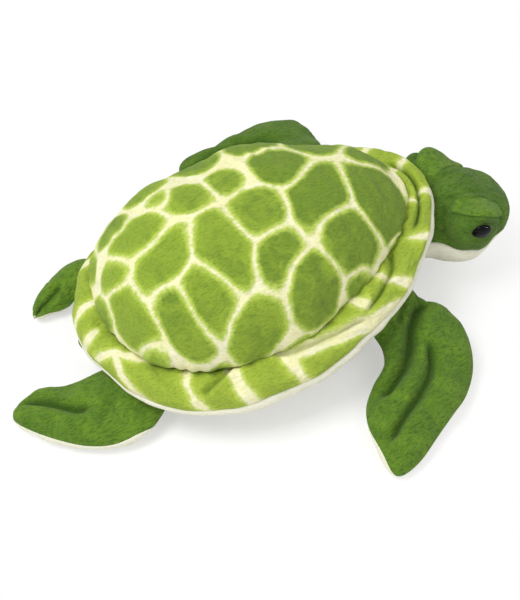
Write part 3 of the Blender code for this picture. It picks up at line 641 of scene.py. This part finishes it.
def make_brim(cloth):
    """The brim's printed upper panel and its cream underside, which meet in one pressed seam line."""
    rows, columns = 96, 400
    turn = all_round(columns)
    strip = edge_strip(turn)
    place = np.linspace(0.0, 2.0, rows)[:, None] + np.zeros((1, columns))
    whole = shaped_brim(np.broadcast_to(turn, place.shape), place)

    def part(start, end, count, first):
        """Takes the rows from start to end of the whole section, and presses its border in a little."""
        spread = mix(start, end, np.linspace(0.0, 1.0, count)[:, None]) * (rows - 1) / 2
        low = np.clip(spread.astype(int), 0, rows - 2)
        share = (spread - low)[..., None]
        column = np.broadcast_to(np.arange(columns), spread.shape)
        points = mix(whole[low, column], whole[low + 1, column], share)
        border = np.linspace(0.0, 1.0, count)[:, None]
        nearness = np.exp(-((border if first else 1 - border) * count / 1.6) ** 2)
        inwards = ring_points(BRIM_EDGE, turn, BRIM_HALF_WAY) - points
        return points + unit(inwards) * nearness[..., None] * BRIM_PRESS, spread * 2 / (rows - 1)

    below, above = np.array((0.0, 0.0, -0.2)), np.array((0.0, 0.0, 0.2))
    upper, place_upper = part(np.zeros((1, columns)), 1 - strip, 52, False)
    degrees = signed_degrees(turn)
    gap = np.full(upper.shape[:2], 12.0)
    for path, start_half, end_half in BANDS:
        reach, _, along = path_reach(*brim_plan(degrees, place_upper, path))
        gap = np.minimum(gap, reach - mix(start_half, end_half, along))
    gap += 0.5 * wander(upper, 0.016, 31)
    tone = -0.7 + 0.5 * wander(upper, 0.070, 32)
    # Painted shade down in the folds; the same mask holds them while the panel is stuffed
    crease_shade = np.zeros(upper.shape[:2])
    for path, width, depth, _ in BRIM_FOLDS:
        crease_shade = np.maximum(crease_shade, crease_depth(*brim_plan(degrees, place_upper, path), width, depth))
    border = place_upper / (1 - strip)
    held = np.maximum(1 - smooth(0.02, 0.10, border), smooth(0.90, 0.98, border))
    held = np.maximum(held, np.clip(1.6 * crease_shade, 0.0, 1.0))
    # Painted shade along the seam under the dome
    crease_shade = np.maximum(crease_shade, 0.9 - 0.9 * smooth(0.01, 0.12, border))
    top = make_piece("carapace_rim_plush", upper, True, below, cloth["brim print"],
                     values={"cell_gap": gap, "cell_tone": tone, "crease_shade": crease_shade}, pins=held)
    lower, _ = part(1 - strip, np.full((1, columns), 2.0), 48, True)
    under = make_piece("rim_underside_plush", lower, True, above, cloth["cream"])
    return top, under


def make_belly(cloth):
    """The cream belly: down the body's wall, then in by (cos a)^0.6 and down by (sin a)^0.9 to the flat.

    It is worked out 0.5 mm deeper than the floor and stopped at it, so the flat ends in a soft edge.
    """
    turn = all_round(200)
    root = ring_points(BODY_ROOT, turn)
    side = ring_points(BODY_SIDE, turn)
    middle = np.array((BODY_SIDE.middle, 0.0, 0.0))
    wall = [mix(root, side, share) for share in np.linspace(0.0, 0.95, 12)]
    depth = side[..., 2]
    sunk = depth + 0.0005
    last = np.arcsin((depth / sunk) ** (1 / 0.9))
    rows = []
    for share in np.linspace(0.0, 1.0, 40):
        angle = last * share
        point = mix(middle, side, (np.cos(angle) ** 0.6)[..., None])
        point[..., 2] = depth - sunk * np.sin(angle) ** 0.9
        rows.append(point)
    flat = [mix(rows[-1], middle, share) for share in np.linspace(0.06, 1.0, 16)]
    points = np.concatenate(wall + rows + flat, axis=0)
    heart = np.array((0.0, 0.0, 0.03))
    out = grid_normals(points, True, heart)
    free = smooth(0.0, 0.008, points[..., 2])
    points = points + out * (free * (0.0007 * wander(points, 0.045, 41)))[..., None]
    points[..., 2] = np.maximum(points[..., 2], 0.0)
    return make_piece("belly_plush", points, True, heart, cloth["cream"], (False, True))


def head_lobes():
    """The neck seam's middle, the heart of the head, and its swelling lobes' centres and half sizes.

    The heart is a quarter of a half size behind the crown's lobe, at the neck seam's height.
    """
    wall = ring_points(BODY_SIDE, np.radians(NECK_TURN))
    seam = np.array((wall[0] + NECK_OUT, wall[1], NECK_HEIGHT))
    centres = np.array([seam + np.array(centre) for centre, _ in HEAD_LOBES])
    halves = np.array([half for _, half in HEAD_LOBES])
    heart = np.array((centres[1][0] - halves[1][0] * 0.25, centres[1][1], seam[2]))
    return seam, heart, centres, halves


def rays(turn, rise):
    """The unit vector at each turn from forward and rise from level."""
    return np.stack([np.cos(turn) * np.cos(rise), np.sin(turn) * np.cos(rise), np.sin(rise)], axis=-1)


def head_reach(start, ray):
    """How far the head's skin is along each ray: where the sum of exp(-k (|q| - 1)) over the lobes is 1.

    q is the place from a lobe's centre over its half sizes, and k is HEAD_SHARPNESS. The last crossing is
    found by steps of 1 mm from 90 mm outside, and halved until it is exact.
    """
    _, _, centres, halves = head_lobes()

    def full(distance):
        """Whether the place at that distance is inside the head."""
        place = start + ray * distance[..., None]
        reach = np.linalg.norm((place[..., None, :] - centres) / halves, axis=-1)
        return np.exp(-HEAD_SHARPNESS * (reach - 1)).sum(axis=-1) > 1

    steps = np.linspace(0.090, 0.0, 91)
    near = np.zeros(ray.shape[:-1])
    far = np.full(ray.shape[:-1], steps[0])
    found = np.zeros(ray.shape[:-1], bool)
    for distance in steps[1:]:
        inside = full(np.full(ray.shape[:-1], distance)) & ~found
        near = np.where(inside, distance, near)
        found |= inside
        far = np.where(found, far, distance)
    for _ in range(24):
        half = (near + far) / 2
        inside = full(half)
        near, far = np.where(inside, half, near), np.where(inside, far, half)
    return near


def eye_seat(side):
    """The eye's seat, sunk in its mound, and the way that its dome looks, a little lower than the skin there.

    Side is -1 on the toy's right and 1 on its left. The left eye sits lower and further forward, as the
    head lies.
    """
    mound = head_lobes()[2][-1 if side > 0 else -2] + MOUND_LIFT
    turn, rise = EYE_PLACES[side]
    out = rays(np.radians(turn), np.radians(rise))
    seat = mound + out * (head_reach(mound, out[None])[0] - EYE_SUNK)
    return seat, rays(np.radians(EYE_LOOK_TURN * side), np.radians(EYE_LOOK_RISE))


def head_skin(turn, rise):
    """The head's points in those directions, with uneven stuffing, creases and eye sockets, and their shade.

    Each of the creases is depth * exp(-(r / width)^2) deep, with r in degrees. The skin is drawn in round
    the eye's shank by SOCKET_DEPTH * exp(-(r / SOCKET_WIDTH)^2), and swells into a brow over the eye by
    BROW_HEIGHT * exp(-|q|^2), with q the place from the brow's middle over BROW_HALVES. Painted shade lies
    in the creases and the sockets.
    """
    middle = head_lobes()[1]
    ray = rays(turn, rise)
    points = middle + ray * head_reach(middle, ray)[..., None]
    swell = lumps(points, HEAD_LUMPS)
    degrees, lift = np.degrees(turn), np.degrees(rise)
    shade = np.zeros(degrees.shape)
    for side in (-1, 1):
        around = (degrees * side + 180) % 360 - 180
        for path, depth, width in HEAD_CREASES:
            line = [(t * math.cos(math.radians(r)), r) for t, r in path]
            reach, _, along = path_reach(around * np.cos(rise), lift, line)
            ends = smooth(0.0, 0.25, along) * smooth(0.0, 0.30, 1 - along)
            deep = np.exp(-(reach / width) ** 2) * (0.15 + 0.85 * ends)
            swell -= 0.001 * depth * deep
            # Painted shade in the creases
            shade = np.maximum(shade, 0.4 * deep ** 2)
        seat, _ = eye_seat(side)
        socket = np.exp(-(np.linalg.norm(points - seat, axis=-1) / SOCKET_WIDTH) ** 2)
        over = np.linalg.norm((points - seat - BROW_PLACE) / BROW_HALVES, axis=-1)
        swell += BROW_HEIGHT * np.exp(-over ** 2) - SOCKET_DEPTH * socket
        # Painted shade in the eye's socket
        shade = np.maximum(shade, 0.9 * socket)
    return points + ray * swell[..., None], shade


def make_head(cloth):
    """The head's green cover and cream chin, split at a seam that waves a little round the face.

    The seam rises from -9 degrees at the nose to 1 degree by the cheeks and 13 at the neck. The cover is
    held there and round the eyes while it is stuffed.
    """
    rows = 80
    turn = all_round(220)
    back = np.abs(signed_degrees(turn))
    split = -9.0 + 10.0 * smooth(60, 92, back) + 12.0 * smooth(98, 140, back)
    split = np.radians(split + 1.2 * np.sin(6 * turn + 0.6) + 0.7 * np.sin(11 * turn))
    down = np.linspace(0.0, 1.0, rows)[:, None]
    middle = head_lobes()[1]
    over = mix(math.pi / 2, split, down)
    under = mix(split, -math.pi / 2, np.linspace(0.0, 1.0, 46)[:, None])
    cover, shade = head_skin(np.broadcast_to(turn, over.shape), over)
    chin, _ = head_skin(np.broadcast_to(turn, under.shape), under)
    for points, row, beside in ((cover, -1, -2), (chin, 0, 1)):
        edge = np.zeros(points.shape[:2])
        edge[row] = 1.0
        edge[beside] = 0.35
        points += unit(middle - points) * edge[..., None] * 0.0008
    held = smooth(0.90, 0.98, down) + np.zeros(turn.shape)
    for side in (-1, 1):
        held = np.maximum(held, np.exp(-(np.linalg.norm(cover - eye_seat(side)[0], axis=-1) / 0.010) ** 4))
    cover = make_piece("head_cover_plush", cover, True, middle, cloth["dark green"], (True, False),
                       values={"crease_shade": shade}, pins=held)
    chin = make_piece("chin_plush", chin, True, middle, cloth["cream"], (False, True))
    return cover, chin


def make_eyelid(name, side, cloth):
    """One eyelid: an oval patch over the mound, flush at its top and rolled into a thick lip below.

    With u = cos(a) o towards the nose, v = sin(a) o and o from 0 to 1, its places are turn 71 - 41 u and
    rise 48 - 16 u - 12 u^2 + 15.5 v (1 + 0.3 u) in degrees. The lip stands 3.4 mm proud.
    """
    around = all_round(140)
    out = np.linspace(0.0, 1.0, 44)[:, None] ** 0.9
    forward, over = out * np.cos(around), out * np.sin(around)
    turn = np.radians((71.0 - 41.0 * forward) * side)
    rise = np.radians(48.0 - 16.0 * forward - 12.0 * forward ** 2 + 15.5 * over * (1 + 0.3 * forward))
    middle = head_lobes()[1]
    ray = rays(turn, rise)
    points = middle + ray * head_reach(middle, ray)[..., None]
    low = smooth(-0.25, 0.65, -np.sin(around)) * smooth(0.0, 0.55, out)
    top = 0.0014 + 0.0004 * out - 0.0034 * smooth(0.80, 1.0, out) ** 1.5
    lip = 0.0014 + 0.0020 * smooth(0.1, 0.75, out) - 0.0048 * smooth(0.86, 1.0, out) ** 2
    proud = mix(top, lip, low) + 0.00035 * wander(points, 0.010, 61) * (1 - out ** 4)
    points = points + ray * proud[..., None]
    return make_piece("eyelid_" + name + "_plush", points, True, middle, cloth["lid"], (True, False),
                      skin=LID_SKIN)


def make_eye(name, side, cloth):
    """One polished eye: a low dome turned about its own axis.

    Its radius is EYE_RADIUS sin a and its height 1.1 mm + EYE_DOME cos a. Under it a thin rim narrows
    towards the shank, and closes flat.
    """
    seat, out = eye_seat(side)
    place = Matrix.Translation(Vector(seat)) @ Vector(out).to_track_quat("Z", "Y").to_matrix().to_4x4()
    angle = np.linspace(0.0, math.pi / 2, 20)
    radius = np.concatenate([EYE_RADIUS * np.sin(angle), [EYE_RADIUS, EYE_RADIUS - 0.0003, 0.0]])[:, None]
    height = np.concatenate([0.0011 + EYE_DOME * np.cos(angle), [0.0004, 0.0003, 0.0003]])[:, None]
    around = all_round(56)
    points = np.stack([radius * np.cos(around), radius * np.sin(around), height + 0.0 * around], axis=-1)
    points = points @ np.array(place.to_3x3()).T + np.array(place.translation)
    heart = np.array(place @ Vector((0.0, 0.0, 0.002)))
    return make_piece("eye_" + name + "_dome", points, True, heart, cloth["eye"], (True, True), skin=0.0)


def limb_axes(limb):
    """The limb's seam point on the body's wall, its way out and its way of sweep."""
    turn = math.radians(limb.seat) * limb.side
    step = math.radians(1.0)
    wall = ring_points(BODY_SIDE, np.array(turn + step)) - ring_points(BODY_SIDE, np.array(turn - step))
    out = unit(np.array((wall[1], -wall[0], 0.0)))
    across = np.array((-out[1], out[0], 0.0)) * limb.side
    return ring_points(BODY_SIDE, np.array(turn)) + out * 0.0003, out, across


def spline(rows, place):
    """A smooth curve through evenly spaced rows, each piece a cubic whose slopes come from its neighbours."""
    rows = np.asarray(rows, float)
    last = len(rows) - 1
    index = np.minimum((place * last).astype(int), last - 1)
    local = (place * last - index)[..., None]
    before, start, end, after = (rows[np.clip(index + step, 0, last)] for step in (-1, 0, 1, 2))
    lean_start, lean_end, rest = (end - before) / 2, (after - start) / 2, end - start
    return (start + local * lean_start + local ** 2 * (3 * rest - 2 * lean_start - lean_end)
            + local ** 3 * (lean_start + lean_end - 2 * rest))


def limb_points(limb, place, angle):
    """A limb's skin: place runs from root to tip, and angle round it, with 0 at the leading edge.

    Across it is the middle + cos(angle) * half width * sqrt(1 - place^10). Its height swells by
    |sin(angle)|^1.1 * (1 - (2 place - 1)^8)^0.55, and its middle line sinks from the seam to the floor.
    """
    root, out, across = limb_axes(limb)
    lead_reach, lead_sweep, trail_reach, trail_sweep, thick = np.moveaxis(spline(limb.outline, place), -1, 0)

    def edge(reach, sweep):
        """The places of one edge, from its share of the limb's reach and sweep."""
        return root + out * (limb.reach * reach)[..., None] + across * (limb.sweep * sweep)[..., None]

    lead, trail = edge(lead_reach, lead_sweep), edge(trail_reach, trail_sweep)
    half = (lead - trail) / 2
    close = np.sqrt(np.maximum(1 - place ** 10, 0.0))
    points = trail + half + half * (close * np.cos(angle))[..., None]
    lying = limb.drop * thick + 0.0007
    points[..., 2] = mix(points[..., 2], lying, smooth(0.0, 0.5, place))
    swell = np.maximum(1 - (2 * place - 1) ** 8, 0.0) ** 0.55 * np.abs(np.sin(angle)) ** 1.1
    upper = np.sin(angle) >= 0
    points[..., 2] += np.where(upper, limb.rise * thick * swell, -limb.drop * thick * swell)
    return points


def make_limb(limb, number, cloth):
    """A limb's green upper panel and cream underside, with its sewn lines and uneven stuffing.

    Each panel's border runs at angle 0 and pi, and a wrap in degrees moves it: up over the edge along the
    limb by the limb's own wraps, and down under it near the root. No lump or fold moves the borders, so the
    two panels stay joined.
    """
    rows, columns = (120, 60) if limb.name != "tail" else (50, 30)
    place = (1 - np.cos(np.linspace(0.0, math.pi, rows)))[:, None] / 2
    lead = np.radians(limb.lead_wrap) * smooth(0.08, 0.30, place) * (0.8 + 0.2 * np.sin(9 * place))
    trail = np.radians(limb.trail_wrap) * smooth(0.55, 0.90, place)
    lead = lead - math.radians(40.0) * (1 - smooth(0.12, 0.36, place))
    trail = trail - math.radians(30.0) * (1 - smooth(0.10, 0.30, place))
    across = np.linspace(0.0, 1.0, columns)[None, :]
    border = smooth(0.0, 0.13, np.minimum(across, 1 - across))
    # The far front flipper takes the darker green as painted shade
    green = "dark green" if limb.name == "front_flipper_left" else "green"
    pieces = []
    for label, start, end, material, look, lowest in (
            ("top", lead, math.pi - trail, green, -0.5, 0.0030),
            ("underside", math.pi - trail, 2 * math.pi + lead, "cream", 0.5, 0.0)):
        angle = mix(start, end, across)
        points = limb_points(limb, np.broadcast_to(place, angle.shape), angle)
        heart = points.mean(axis=(0, 1)) + np.array((0.0, 0.0, look))
        out = grid_normals(points, False, heart)
        body = smooth(0.0, 0.25, np.abs(np.sin(angle))) * smooth(0.02, 0.12, place) * border
        swell = body * lumps(points, ((0.0008, 0.036, 70 + number), (0.0004, 0.016, 80 + number)))
        # Painted shade down in the top's folds; the same mask holds them while it is stuffed
        crease_shade = np.zeros(points.shape[:2])
        for path, width, depth, lift in limb.folds if label == "top" else []:
            plan = points[..., 0] * 1000, points[..., 1] * 1000, path, width, depth
            swell = swell + 0.001 * fold(*plan, lift) * border
            crease_shade = np.maximum(crease_shade, crease_depth(*plan) * border)
        points = points + out * swell[..., None]
        points[..., 2] = np.maximum(points[..., 2], lowest)
        held = np.maximum(1 - border, 1 - smooth(0.03, 0.10, place))
        held = np.maximum(np.maximum(held, smooth(0.94, 0.99, place)), np.clip(1.6 * crease_shade, 0.0, 1.0))
        pieces.append(make_piece(limb.name + "_" + label + "_plush", points, False, heart, cloth[material],
                                 (False, True), skin=LIMB_SKIN, values={"crease_shade": crease_shade},
                                 pins=held if label == "top" and limb.folds else None))
    return pieces


def add_node(tree, kind, entries=None, operation=None):
    """Adds a shader node. Each entry names or numbers an input, and gives its plain value or its source."""
    node = tree.nodes.new("ShaderNode" + kind)
    if operation:
        node.operation = operation
    for label, value in (entries or {}).items():
        if isinstance(value, bpy.types.NodeSocket):
            tree.links.new(value, node.inputs[label])
        else:
            node.inputs[label].default_value = value
    return node


def add_math(tree, operation, *values):
    """Adds a Math node on those plain values or sources, and gives its result."""
    return add_node(tree, "Math", dict(enumerate(values)), operation).outputs[0]


def short_pile():
    """A group for cut pile: brushed patches, single tufts, and the height that both give.

    Tufts are fine noise on a vector that coarser noise bends by up to 4 mm and that is stretched one way,
    so that they lie in swirls. The height is the tufts' noise + 0.6 * the patches'.
    """
    group = bpy.data.node_groups.new("Short pile", "ShaderNodeTree")
    for name, kind, way in (("Vector", "Vector", "INPUT"), ("Tuft scale", "Float", "INPUT"),
                            ("Patch scale", "Float", "INPUT"), ("Patches", "Float", "OUTPUT"),
                            ("Tufts", "Float", "OUTPUT"), ("Height", "Float", "OUTPUT")):
        group.interface.new_socket(name=name, in_out=way, socket_type="NodeSocket" + kind)
    given = group.nodes.new("NodeGroupInput").outputs
    result = group.nodes.new("NodeGroupOutput").inputs
    bend = add_node(group, "TexNoise", {"Vector": given["Vector"], "Scale": 130.0, "Detail": 1.0})
    shift = add_node(group, "VectorMath", {0: bend.outputs["Color"], 1: (0.004, 0.004, 0.004),
                                           2: given["Vector"]}, "MULTIPLY_ADD")
    stretch = add_node(group, "Mapping", {"Vector": shift.outputs[0], "Scale": (0.30, 1.0, 1.0),
                                          "Rotation": (0.3, 0.5, 0.7)})
    tufts = add_node(group, "TexNoise", {"Vector": stretch.outputs[0], "Scale": given["Tuft scale"],
                                         "Detail": 3.0, "Roughness": 0.65}).outputs["Fac"]
    patches = add_node(group, "TexNoise", {"Vector": given["Vector"], "Scale": given["Patch scale"],
                                           "Detail": 4.0, "Roughness": 0.6, "Distortion": 0.6}).outputs["Fac"]
    group.links.new(patches, result["Patches"])
    group.links.new(tufts, result["Tufts"])
    group.links.new(add_math(group, "MULTIPLY_ADD", patches, 0.6, tufts), result["Height"])
    return group


def start_material(name, roughness, sheen, gloss):
    """A material with its Principled shader, and the object's coordinates."""
    material = bpy.data.materials.new(name)
    material.use_nodes = True
    tree = material.node_tree
    shader = tree.nodes["Principled BSDF"]
    for label, value in (("Roughness", roughness), ("Sheen Weight", sheen), ("Sheen Roughness", 0.45),
                         ("Sheen Tint", SHEEN_TINT), ("Specular IOR Level", gloss)):
        shader.inputs[label].default_value = value
    return material, tree, shader, add_node(tree, "TexCoord").outputs["Object"]


def remap(tree, value, low, high, out_low=0.0, out_high=1.0):
    """A smooth step of a value from low and high to out_low and out_high."""
    node = add_node(tree, "MapRange", {"Value": value, "From Min": low, "From Max": high,
                                       "To Min": out_low, "To Max": out_high})
    node.interpolation_type = "SMOOTHSTEP"
    return node.outputs["Result"]


def blend_colour(tree, factor, first, second, kind="MIX"):
    """A mix of two colours, each a plain colour or another node's output."""
    node = add_node(tree, "Mix", {"Factor": factor})
    node.data_type = "RGBA"
    node.blend_type = kind
    for label, value in (("A", first), ("B", second)):
        entry = next(entry for entry in node.inputs if entry.name == label and entry.type == "RGBA")
        if isinstance(value, tuple):
            entry.default_value = value
        else:
            tree.links.new(value, entry)
    return next(out for out in node.outputs if out.type == "RGBA")


def add_pile(tree, pile, vector, tuft_scale, patch_scale):
    """Places the short pile's group with its own scales."""
    node = tree.nodes.new("ShaderNodeGroup")
    node.node_tree = pile
    node.inputs["Tuft scale"].default_value = tuft_scale
    node.inputs["Patch scale"].default_value = patch_scale
    tree.links.new(vector, node.inputs["Vector"])
    return node.outputs


def add_bump(tree, shader, height, strength, distance):
    """Feeds the height to the shader's normal through a Bump node."""
    bump = add_node(tree, "Bump", {"Strength": strength, "Distance": distance, "Height": height})
    tree.links.new(bump.outputs["Normal"], shader.inputs["Normal"])


def attribute(tree, name):
    """A mask that the mesh carries, by its name; it is 0 where a mesh has none."""
    node = add_node(tree, "Attribute")
    node.attribute_name = name
    return node.outputs["Fac"]


def between_tufts(tree, tufts, most, colour, shade):
    """The colour, with at most that share of the shade where the tufts part."""
    return blend_colour(tree, remap(tree, tufts, 0.54, 0.36, 0.0, most), colour, shade)


def in_folds(tree, most, colour, shade):
    """The colour, with at most that share of painted shade down in folds and seams, by the crease attribute.
    """
    return blend_colour(tree, remap(tree, attribute(tree, "crease_shade"), 0.05, 1.0, 0.0, most), colour, shade)


def plain_pile(name, pile, deep, shade, depth, light=None, turning=(0.24, 0.80), scales=(820.0, 70.0)):
    """One colour of pile: deep where it is brushed one way, and light, if given, where it is brushed back.

    It turns light between those two values of the patches. Shade is its colour between the tufts and its
    painted shade in a fold, depth is the bump's in metres, and the scales are the tufts' and the patches'.
    """
    material, tree, shader, vector = start_material(name, PILE_ROUGHNESS, PILE_SHEEN, PILE_GLOSS)
    out = add_pile(tree, pile, vector, *scales)
    colour = blend_colour(tree, remap(tree, out["Patches"], *turning), deep, light) if light else deep
    colour = between_tufts(tree, out["Tufts"], 0.55, colour, shade)
    # Painted shade in folds and seams
    colour = in_folds(tree, 0.85, colour, shade)
    tree.links.new(colour, shader.inputs["Base Color"])
    add_bump(tree, shader, out["Height"], 0.9, depth)
    return material


def printed_pile(name, pile, leaf_light, leaf_deep, leaf_edge):
    """The printed pile: leaf-green cells with soft paler borders on cream, by the cell_gap attribute.

    A cell is deeper where it is brushed down, and each has its own tone. The reach is the gap in
    millimetres + 2.4 * fine noise, so borders are fuzzy. Cream gives way to green from 1.2 to 3.2, the
    paler border fades from 2.6 to 5.4, and the middle grows deeper from 3 to 10. The pile is lower on cream.
    """
    material, tree, shader, vector = start_material(name, PILE_ROUGHNESS, PILE_SHEEN, PILE_GLOSS)
    out = add_pile(tree, pile, vector, 900.0, 80.0)
    fuzz = add_node(tree, "TexNoise", {"Vector": vector, "Scale": 380.0, "Detail": 3.0})
    reach = add_math(tree, "MULTIPLY_ADD", fuzz.outputs["Fac"], 2.4, attribute(tree, "cell_gap"))
    tone = add_math(tree, "MULTIPLY_ADD", attribute(tree, "cell_tone"), 0.42, out["Patches"])
    leaf = blend_colour(tree, remap(tree, tone, 0.50, 0.90), leaf_light, leaf_deep)
    leaf = blend_colour(tree, remap(tree, reach, 3.0, 10.0, 0.0, 0.40), leaf, leaf_deep)
    leaf = blend_colour(tree, remap(tree, reach, 5.4, 2.6), leaf, leaf_edge)
    leaf = between_tufts(tree, out["Tufts"], 0.45, leaf, blend_colour(tree, 1.0, leaf, TUFT_TINT, "MULTIPLY"))
    cream = blend_colour(tree, remap(tree, out["Patches"], 0.35, 0.7), LINE_CREAM, LINE_PALE)
    cream = between_tufts(tree, out["Tufts"], 0.40, cream, LINE_SHADE)
    colour = blend_colour(tree, remap(tree, reach, 1.2, 3.2), cream, leaf)
    # Painted shade in folds and seams
    colour = in_folds(tree, 0.9, colour, blend_colour(tree, 1.0, colour, FOLD_SHADE, "MULTIPLY"))
    tree.links.new(colour, shader.inputs["Base Color"])
    height = add_math(tree, "MULTIPLY", out["Height"], remap(tree, reach, 0.8, 3.4, 0.5, 1.0))
    add_bump(tree, shader, height, 0.8, 0.0011)
    return material


def hard_plastic(name, colour, roughness, gloss, grain):
    """A moulded plastic, whose colour and roughness stray with fine noise.

    The colour grows up to 1.25 times lighter and the roughness is 0.8 to 1.5 times its own. The same noise
    is the fine grain of its surface, grain metres deep.
    """
    material, tree, shader, vector = start_material(name, roughness, 0.0, gloss)
    noise = add_node(tree, "TexNoise", {"Vector": vector, "Scale": 900.0, "Detail": 4.0}).outputs["Fac"]
    lighter = tuple(min(1.0, 1.25 * part + 0.002) for part in colour[:3]) + (1.0,)
    stained = blend_colour(tree, remap(tree, noise, 0.4, 0.7), colour, lighter)
    tree.links.new(stained, shader.inputs["Base Color"])
    tree.links.new(remap(tree, noise, 0.3, 0.8, roughness * 0.8, roughness * 1.5), shader.inputs["Roughness"])
    add_bump(tree, shader, noise, 0.08, grain)
    return material


def make_floor():
    """A wide pale floor just under the toy: it takes the toy's shadow, and turns white to the camera.

    The camera sees FLOOR_WHITE of plain white within FLOOR_NEAR of the middle, and only that past FLOOR_FAR.
    """
    mesh = bpy.data.meshes.new("floor")
    corners = [(-FLOOR_REACH, -FLOOR_REACH), (FLOOR_REACH, -FLOOR_REACH), (FLOOR_REACH, FLOOR_REACH),
               (-FLOOR_REACH, FLOOR_REACH)]
    mesh.from_pydata([(x, y, -FLOOR_DROP) for x, y in corners], [], [(0, 1, 2, 3)])
    material, tree, shader, vector = start_material("pale floor", 0.9, 0.0, 0.0)
    noise = add_node(tree, "TexNoise", {"Vector": vector, "Scale": 60.0}).outputs["Fac"]
    tree.links.new(blend_colour(tree, noise, FLOOR_PALE, FLOOR_PALER), shader.inputs["Base Color"])
    away = add_node(tree, "VectorMath", {0: vector}, "LENGTH").outputs["Value"]
    seen = add_node(tree, "LightPath").outputs["Is Camera Ray"]
    white = add_math(tree, "MULTIPLY", seen, remap(tree, away, FLOOR_NEAR, FLOOR_FAR, FLOOR_WHITE, 1.0))
    glow = add_node(tree, "Emission").outputs[0]
    join = add_node(tree, "MixShader", {"Fac": white, 1: shader.outputs[0], 2: glow})
    tree.links.new(join.outputs[0], tree.nodes["Material Output"].inputs["Surface"])
    mesh.materials.append(material)
    floor = bpy.data.objects.new("floor", mesh)
    bpy.context.scene.collection.objects.link(floor)


def make_world():
    """An even pale sky: white to the camera, and WORLD_LIGHT of that on the toy."""
    world = bpy.data.worlds.new("studio")
    bpy.context.scene.world = world
    world.use_nodes = True
    tree = world.node_tree
    back = tree.nodes["Background"]
    back.inputs["Color"].default_value = (1.0, 1.0, 1.0, 1.0)
    path = add_node(tree, "LightPath").outputs
    seen = add_math(tree, "MAXIMUM", path["Is Camera Ray"], path["Is Transmission Ray"])
    tree.links.new(remap(tree, seen, 0.0, 1.0, WORLD_LIGHT, 1.0), back.inputs["Strength"])


def make_lamps():
    """Square soft lamps that look at the toy's middle. The glint shows only in polished things."""
    for name, place, size, power in LAMPS:
        data = bpy.data.lights.new(name, "AREA")
        data.size = size
        data.energy = power
        lamp = bpy.data.objects.new(name, data)
        lamp.location = place
        lamp.rotation_euler = (LAMP_AIM - Vector(place)).to_track_quat("-Z", "Y").to_euler()
        lamp.visible_diffuse = name != "glint"
        bpy.context.scene.collection.objects.link(lamp)


def make_camera():
    """The camera at the photograph's angle: back from its target along (sin a cos e, -cos a cos e, sin e)."""
    turn, rise = math.radians(CAMERA_TURN), math.radians(CAMERA_RISE)
    back = Vector((math.sin(turn) * math.cos(rise), -math.cos(turn) * math.cos(rise), math.sin(rise)))
    data = bpy.data.cameras.new("camera")
    data.lens = CAMERA_LENS
    data.clip_start = 0.01
    camera = bpy.data.objects.new("camera", data)
    camera.location = CAMERA_TARGET + back * CAMERA_DISTANCE
    camera.rotation_euler = back.to_track_quat("Z", "Y").to_euler()
    bpy.context.scene.collection.objects.link(camera)
    bpy.context.scene.camera = camera


def finish_plush(piece, material_slot, fill, *nodes):
    """Hides the solids that a plush piece stands for; the slot and the filling that it is given are not used.
    """
    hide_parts(*nodes)


def dress():
    """Makes every piece, and says what each one rides on and stands for."""
    pile = short_pile()
    cloth = {
        "green": plain_pile("green plush", pile, DEEP_GREEN, PILE_SHADOW, 0.0016, MOSS_GREEN),
        # Also painted shade on the far front flipper
        "dark green": plain_pile("dark green plush", pile, DARK_GREEN, PILE_SHADOW, 0.0016, DARK_MOSS),
        "lid": plain_pile("eyelid plush", pile, DEEP_GREEN, PILE_SHADOW, 0.0014, LID_GREEN, (0.30, 0.62),
                          (1000.0, 130.0)),
        "print": printed_pile("printed plush", pile, LEAF, LEAF_DEEP, LEAF_EDGE),
        "brim print": printed_pile("brim's printed plush", pile, BRIM_LEAF, BRIM_DEEP, BRIM_EDGE_LEAF),
        "cream": plain_pile("cream plush", pile, CREAM, CREAM_SHADE, 0.0005, scales=(700.0, 60.0)),
        "eye": hard_plastic("eye plastic", EYE_BLACK, 0.12, 0.10, 0.00002),
        "washer": hard_plastic("washer plastic", WASHER_WHITE, 0.42, 0.5, 0.00005),
    }
    dome = make_dome(cloth)
    brim, underside = make_brim(cloth)
    belly = make_belly(cloth)
    finish_plush(dome, "printed_plush", 0.75, "carapace_dome", "body_filling")
    finish_plush(brim, "printed_plush", 0.6, "carapace_rim", "rim_filling")
    finish_plush(underside, "cream_plush", 0.5, "rim_underside")
    finish_plush(belly, "cream_plush", 0.6, "belly_panel")
    for piece in (dome, brim, underside, belly):
        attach(piece, "body")

    cover, chin = make_head(cloth)
    finish_plush(cover, "green_plush", 0.75, "head_cover", "head_filling")
    finish_plush(chin, "cream_plush", 0.7, "chin_panel")
    for piece in (cover, chin):
        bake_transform(piece)
    for name, side in (("left", 1), ("right", -1)):
        lid = make_eyelid(name, side, cloth)
        finish_plush(lid, "green_plush", 0.5, "eyelid_" + name)
        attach(lid, "head")
        eye = make_eye(name, side, cloth)
        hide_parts("eye_" + name)
        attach(eye, "head")
        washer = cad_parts["eye_washer_" + name]
        washer.data.materials.clear()
        washer.data.materials.append(cloth["washer"])

    for number, limb in enumerate(LIMBS):
        top, under = make_limb(limb, number, cloth)
        filling = [limb.name + "_filling"] if limb.name != "tail" else []
        finish_plush(top, "green_plush", 0.6, limb.name + "_top", *filling)
        finish_plush(under, "cream_plush", 0.6, limb.name + "_underside")
        for piece in (top, under):
            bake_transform(piece)


dress()
make_floor()
make_world()
make_lamps()
make_camera()
bpy.context.scene.view_settings.view_transform = "Standard"
